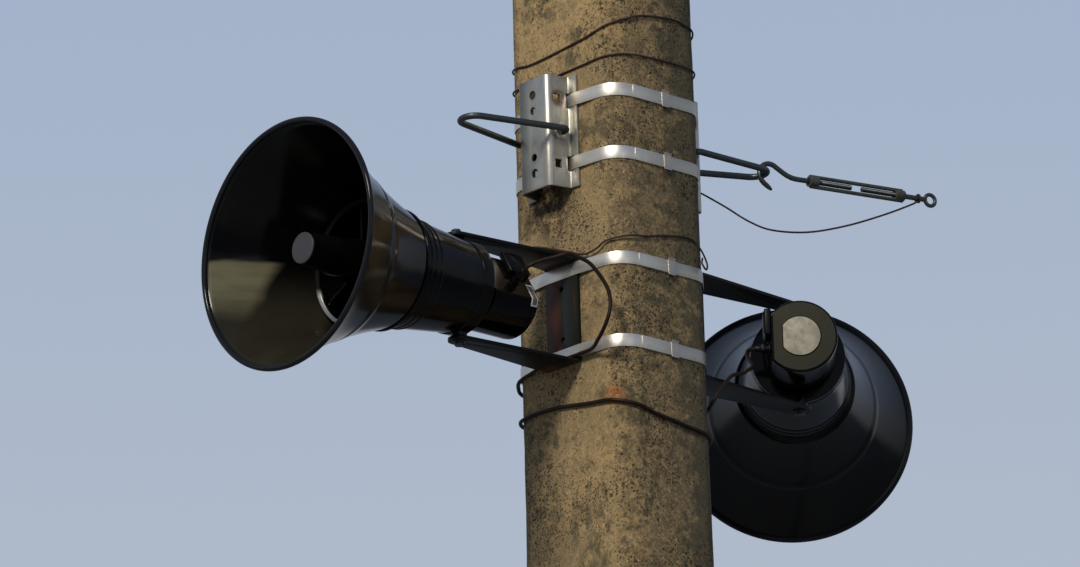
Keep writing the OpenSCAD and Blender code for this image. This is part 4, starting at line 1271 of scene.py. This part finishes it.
class POLE_OT_plugs(bpy.types.Operator):
    """Models the central reflectors with their fins, caps and throat rings"""
    bl_idname = "pole.plugs"
    bl_label = "Reflectors"

    def execute(self, context):
        outside = [(CAP_BACK, 23.6), (205, 40), (225, 40), (235, 32), (345, 32)]
        inside = [(345, 29), (235, 29), (225, 37), (205, 37), (CAP_BACK, 20.6)]
        pieces = [ring("reflector", stations(*outside, *inside), 0.0012, 96)]
        for i in range(3):
            pieces.append(moved(self.fin(), rotated(120 * i, "X")))
        both_horns(joined("reflector", pieces), "reflector", "horn_gloss", "plug")
        face = [(34.6, 23.6), (34, 22), (34.4, 20.5), (34.1, 19.5), (34, 0)]
        cap = disc("cap", stations((CAP_BACK, 0), (CAP_BACK, 23.6), *face), 0.0006, 96)
        both_horns(cap, "reflector_cap", "plug_cap_metal", "plug_cap")
        section = stations((RING_BACK, 90), (RING_BACK, 97), (143.5, 97), (142.8, 95.5), (144.6, 90))
        both_horns(ring("bright", section, 0.0009), "bright_ring", "bare_ring", "throat_ring")
        return {"FINISHED"}

    def fin(self):
        """One fin, standing up from the axis; its outer edge follows the skirt."""
        fin = block("fin", (140, -2, 33), (190, 2, 91.3), 0.7, 2)
        with editing(fin):
            pick(fin, "verts", lambda v: v.co.z > 0.08 and v.co.x < 0.16)
            bpy.ops.transform.translate(value=(0, 0, -0.0088))
        return fin


class POLE_OT_drivers(bpy.types.Operator):
    """Models the driver drums with their covers, blank labels, terminal covers and glands"""
    bl_idname = "pole.drivers"
    bl_label = "Drivers"

    def execute(self, context):
        horn = context.scene.pole_horns
        r, rear, flat = horn.driver_radius, -horn.driver_reach, horn.driver_flat
        self.drum(r, rear, flat)
        lid = sliced(plate("lid", r - 0.0032, rear + 0.002, rear - 0.0004, 0.0005), flat - 0.003)
        both_horns(lid, "driver_cover", "rear_cover", on_driver=True)
        self.label(rear)
        self.terminals(rear, flat)
        self.gland(rear, flat)
        self.sticker(rear, r, flat)
        return {"FINISHED"}

    def drum(self, r, rear, flat):
        front, edge, seam = -0.024, 0.003, 0.012
        outline = [
            (rear, 0), *arc(rear + edge, r - edge, edge, 180, 90, 5),
            (rear + seam, r), (rear + seam + 0.0003, r - 0.0007), (rear + seam + 0.001, r - 0.0007),
            (rear + seam + 0.0013, r), (front - 0.003, r), (front, r - 0.003), (front, 0),
        ]
        drum = sliced(turned("drum", outline, 144), flat)
        rounded_edges(drum, 0.0012, 3, 38)
        smoothed(drum)
        groove = [(-0.0175, 0.05), (-0.0172, 0.0492), (-0.0166, 0.0492), (-0.0163, 0.05)]
        section = [(-0.025, 0.03), (-0.025, 0.05), *groove, (-0.01, 0.05), (-0.01, 0.03)]
        drum = joined("drum", [drum, ring("collar", section, 0.0004)])
        both_horns(drum, "driver_drum", "driver_paint", "driver", on_driver=True)

    def label(self, rear):
        """The round plate with one flat side: a dark frame and a blank panel."""
        for name, finish, nodes, r, cut, low, high in (
            ("label_frame", "cover_plastic", (), 0.032, 0.027, 0.0002, 0.0013),
            ("label_panel", "label", ("driver_plate",), 0.0306, 0.0256, 0.0008, 0.0017),
        ):
            face = sliced(plate(name, r, rear - low, rear - high, 0.0003), cut)
            both_horns(face, name, finish, *nodes, on_driver=True)

    def terminals(self, rear, flat):
        x, y = rear / MM, flat / MM
        box = block("terminals", (x + 3, y - 0.5, 5), (x + 43, y + 10.5, 47), 3)
        with editing(box):
            pick(box, "faces", lambda f: f.normal.y > 0.99)
            bpy.ops.mesh.inset(thickness=0.0016, depth=0)
            bpy.ops.mesh.inset(thickness=0.0008, depth=0.0012)
        places = [(x + a, y + 11, z) for z in (11, 41) for a in (9, 37)]
        screws = [cheese("screw", place, (0, 1, 0), 2.4, 1.0, 20, 0.3) for place in places]
        box = joined("terminals", [box, *screws])
        both_horns(box, "terminal_box", "cover_plastic", "terminal_cover", on_driver=True)

    def gland(self, rear, flat):
        x, y, z = rear / MM + 35, flat / MM, -8
        pieces = [
            cheese("locknut", (x, y, z), (0, 1, 0), 8, 4, 6, 0.6),
            cheese("shank", (x, y + 4, z), (0, 1, 0), 6.2, 3, 32, 0.3),
            cheese("nut", (x, y + 7, z), (0, 1, 0), 7.8, 8, 6, 0.7),
        ]
        hole = 3.5
        section = [(14, hole), (14, 6.8), (20.5, 6.3), (24.5, 5.2), (26, 4.5), (26, hole), (24, hole)]
        dome = ring("dome", [(a * MM, r * MM) for a, r in section], 0.0005, 40)
        pieces.append(moved(dome, shifted(x * MM, y * MM, z * MM), rotated(90, "Z")))
        both_horns(joined("gland", pieces), "lead_gland", "cover_plastic", "cable_gland", on_driver=True)

    def sticker(self, rear, r, flat):
        """A small blank sticker on the left drum, bent from its flat onto its round side."""
        half_flat = math.degrees(math.acos(flat / r))
        for name, half, first, last, proud in (
            ("sticker_edge", 0.006, 12, -0.009, 0.0004), ("sticker_panel", 0.0041, 9.5, -0.0115, 0.0007),
        ):
            turns = [math.radians(half_flat + first * i / 4) for i in range(4, 0, -1)]
            corner = Vector((0, flat + proud, -math.sqrt(r * r - flat * flat)))
            bend = [(0, (r + proud) * math.cos(t), -(r + proud) * math.sin(t)) for t in turns]
            path = eased([*bend, corner, (0, flat + proud, last)], 0.003, closed=False)
            roll = Matrix.Rotation(settings().pole_horns.left_roll, 4, "X")
            piece = moved(
                strip(name, path, half * 2, 0.0005), Matrix.Translation(LEFT_PIVOT), rotated(180, "Z"), roll,
                shifted(rear + 0.0092 - half, 0, 0))
            dressed(piece, name, "left_horn")


class POLE_OT_turnbuckle(bpy.types.Operator):
    """Bends the turnbuckle's hook and eye bolt and cuts their threads"""
    bl_idname = "pole.turnbuckle"
    bl_label = "Turnbuckle"

    def execute(self, context):
        bowl, bowl_middle, body_start, body_end, eye = 18, 168.7, 238, 408, 456
        turns = [math.radians(235 - 175 * i / 24) for i in range(25)]
        bend = [Vector((bowl_middle + bowl * math.cos(t), bowl * math.sin(t))) for t in turns]
        tip_way = Vector((math.cos(math.radians(325)), math.sin(math.radians(325))))
        tip = [bend[0] + tip_way * reach for reach in (16, 15, 12, 7)]
        fall = [(184, 11.8), (192, 7.1), (200, 3.2), (208, 0.8), (216, 0)]
        rod = [(body_start, 0), (body_start + 12, 0)]
        path = [Vector((x, 0, z)) * MM for x, z in (*tip, *bend, *fall, *rod)]
        hook = tube("hook", path, 0.008, 6, (0.3, 0.5, 0.75, 0.95))
        self.place(hook, "pointed_hook", "galvanised_rod", "turnbuckle_hook")
        bpy.ops.mesh.primitive_torus_add(
            major_segments=64, minor_segments=20, major_radius=0.009, minor_radius=0.003,
            location=(eye * MM, 0, 0), rotation=(math.radians(90), 0, 0))
        loop = smoothed(settled(started("loop")), 60)
        shank = cheese("shank", (body_end - 12, 0, 0), (1, 0, 0), 4, eye - body_end + 4.5, 32, 0.3)
        self.place(joined("eye", [loop, shank]), "eye_bolt", "galvanised_rod", "turnbuckle_eye")
        threads = [self.thread(start, 34) for start in (body_start + 8, body_end - 76)]
        self.place(joined("threads", threads), "rod_threads", "worn_steel")
        return {"FINISHED"}

    def thread(self, start, turns):
        """Ridges of a thread 2 mm apart, from a place along the rod; millimetres."""
        outline = [(start, 0)]
        for i in range(turns):
            x = start + 2 * i
            outline += [(x + 0.2, 3.3), (x + 0.9, 4), (x + 1.1, 4), (x + 1.8, 3.3)]
        outline.append((start + 2 * turns, 0))
        return turned("thread", [(x * MM, r * MM) for x, r in outline], 28, 30)

    def place(self, piece, name, finish, *nodes):
        """Sets a piece in the line in which the right bail is pulled."""
        piece.name = name
        piece.data.name = name
        dressed(moved(piece, pulled()), finish, "mast", *nodes)


class POLE_OT_hardware(bpy.types.Operator):
    """Rounds the edges of the flat bar, plate and castings"""
    bl_idname = "pole.hardware"
    bl_label = "Hardware"

    def execute(self, context):
        metal = context.scene.pole_metals
        bands = [f"{use}_band_{place}" for use in ("horn", "bracket") for place in ("lower", "upper")]
        for node, finish in (
            *[(band, "stainless") for band in (*bands, "band_buckles")],
            ("yoke_left", "yoke_paint"), ("yoke_right", "yoke_paint"),
            ("pole_bracket_left", "galvanised_bracket"), ("pole_bracket_right", "galvanised_bracket"),
            ("turnbuckle_body", "lichened_zinc"),
        ):
            radius = 0.0003 if finish == "stainless" else metal.edge_round
            dressed(softened(node, node + "_worn", radius), finish, "mast", node)
        return {"FINISHED"}


class POLE_OT_finishes(bpy.types.Operator):
    """Gives the bails, which are shown as they are in the frame, their finish"""
    bl_idname = "pole.finishes"
    bl_label = "Finishes"

    def execute(self, context):
        for node in ("bail_left", "bail_right"):
            piece = FRAME["nodes"][node]
            piece.data.materials.clear()
            piece.data.materials.append(material("galvanised_rod"))
        return {"FINISHED"}


class POLE_PT_dressing(bpy.types.Panel):
    bl_label = "Loudspeaker pole"
    bl_idname = "POLE_PT_dressing"
    bl_space_type = "VIEW_3D"
    bl_region_type = "UI"
    bl_category = "Pole"

    def draw(self, context):
        for operator in OPERATORS:
            self.layout.operator(operator.bl_idname)
        for name, group in GROUPS.items():
            box = self.layout.box()
            for setting in group.__annotations__:
                box.prop(getattr(context.scene, name), setting)


GROUPS = {
    "pole_casting": PoleSettings,
    "pole_horns": HornSettings,
    "pole_metals": MetalSettings,
    "pole_leads": LeadSettings,
    "pole_stage": StageSettings,
}
OPERATORS = (
    POLE_OT_stage,
    POLE_OT_leads,
    POLE_OT_wires,
    POLE_OT_casting,
    POLE_OT_bells,
    POLE_OT_bodies,
    POLE_OT_plugs,
    POLE_OT_drivers,
    POLE_OT_turnbuckle,
    POLE_OT_hardware,
    POLE_OT_finishes,
)


def register():
    for kind in (*GROUPS.values(), *OPERATORS, POLE_PT_dressing):
        bpy.utils.register_class(kind)
    for name, group in GROUPS.items():
        setattr(bpy.types.Scene, name, PointerProperty(type=group))


def unregister():
    for name in GROUPS:
        delattr(bpy.types.Scene, name)
    for kind in reversed((*GROUPS.values(), *OPERATORS, POLE_PT_dressing)):
        bpy.utils.unregister_class(kind)


def main():
    register()
    bpy.ops.pole.stage()
    bpy.ops.pole.leads()
    bpy.ops.pole.wires()
    bpy.ops.pole.casting()
    bpy.ops.pole.bells()
    bpy.ops.pole.bodies()
    bpy.ops.pole.plugs()
    bpy.ops.pole.drivers()
    bpy.ops.pole.turnbuckle()
    bpy.ops.pole.hardware()
    bpy.ops.pole.finishes()


if __name__ == "__main__":
    main()
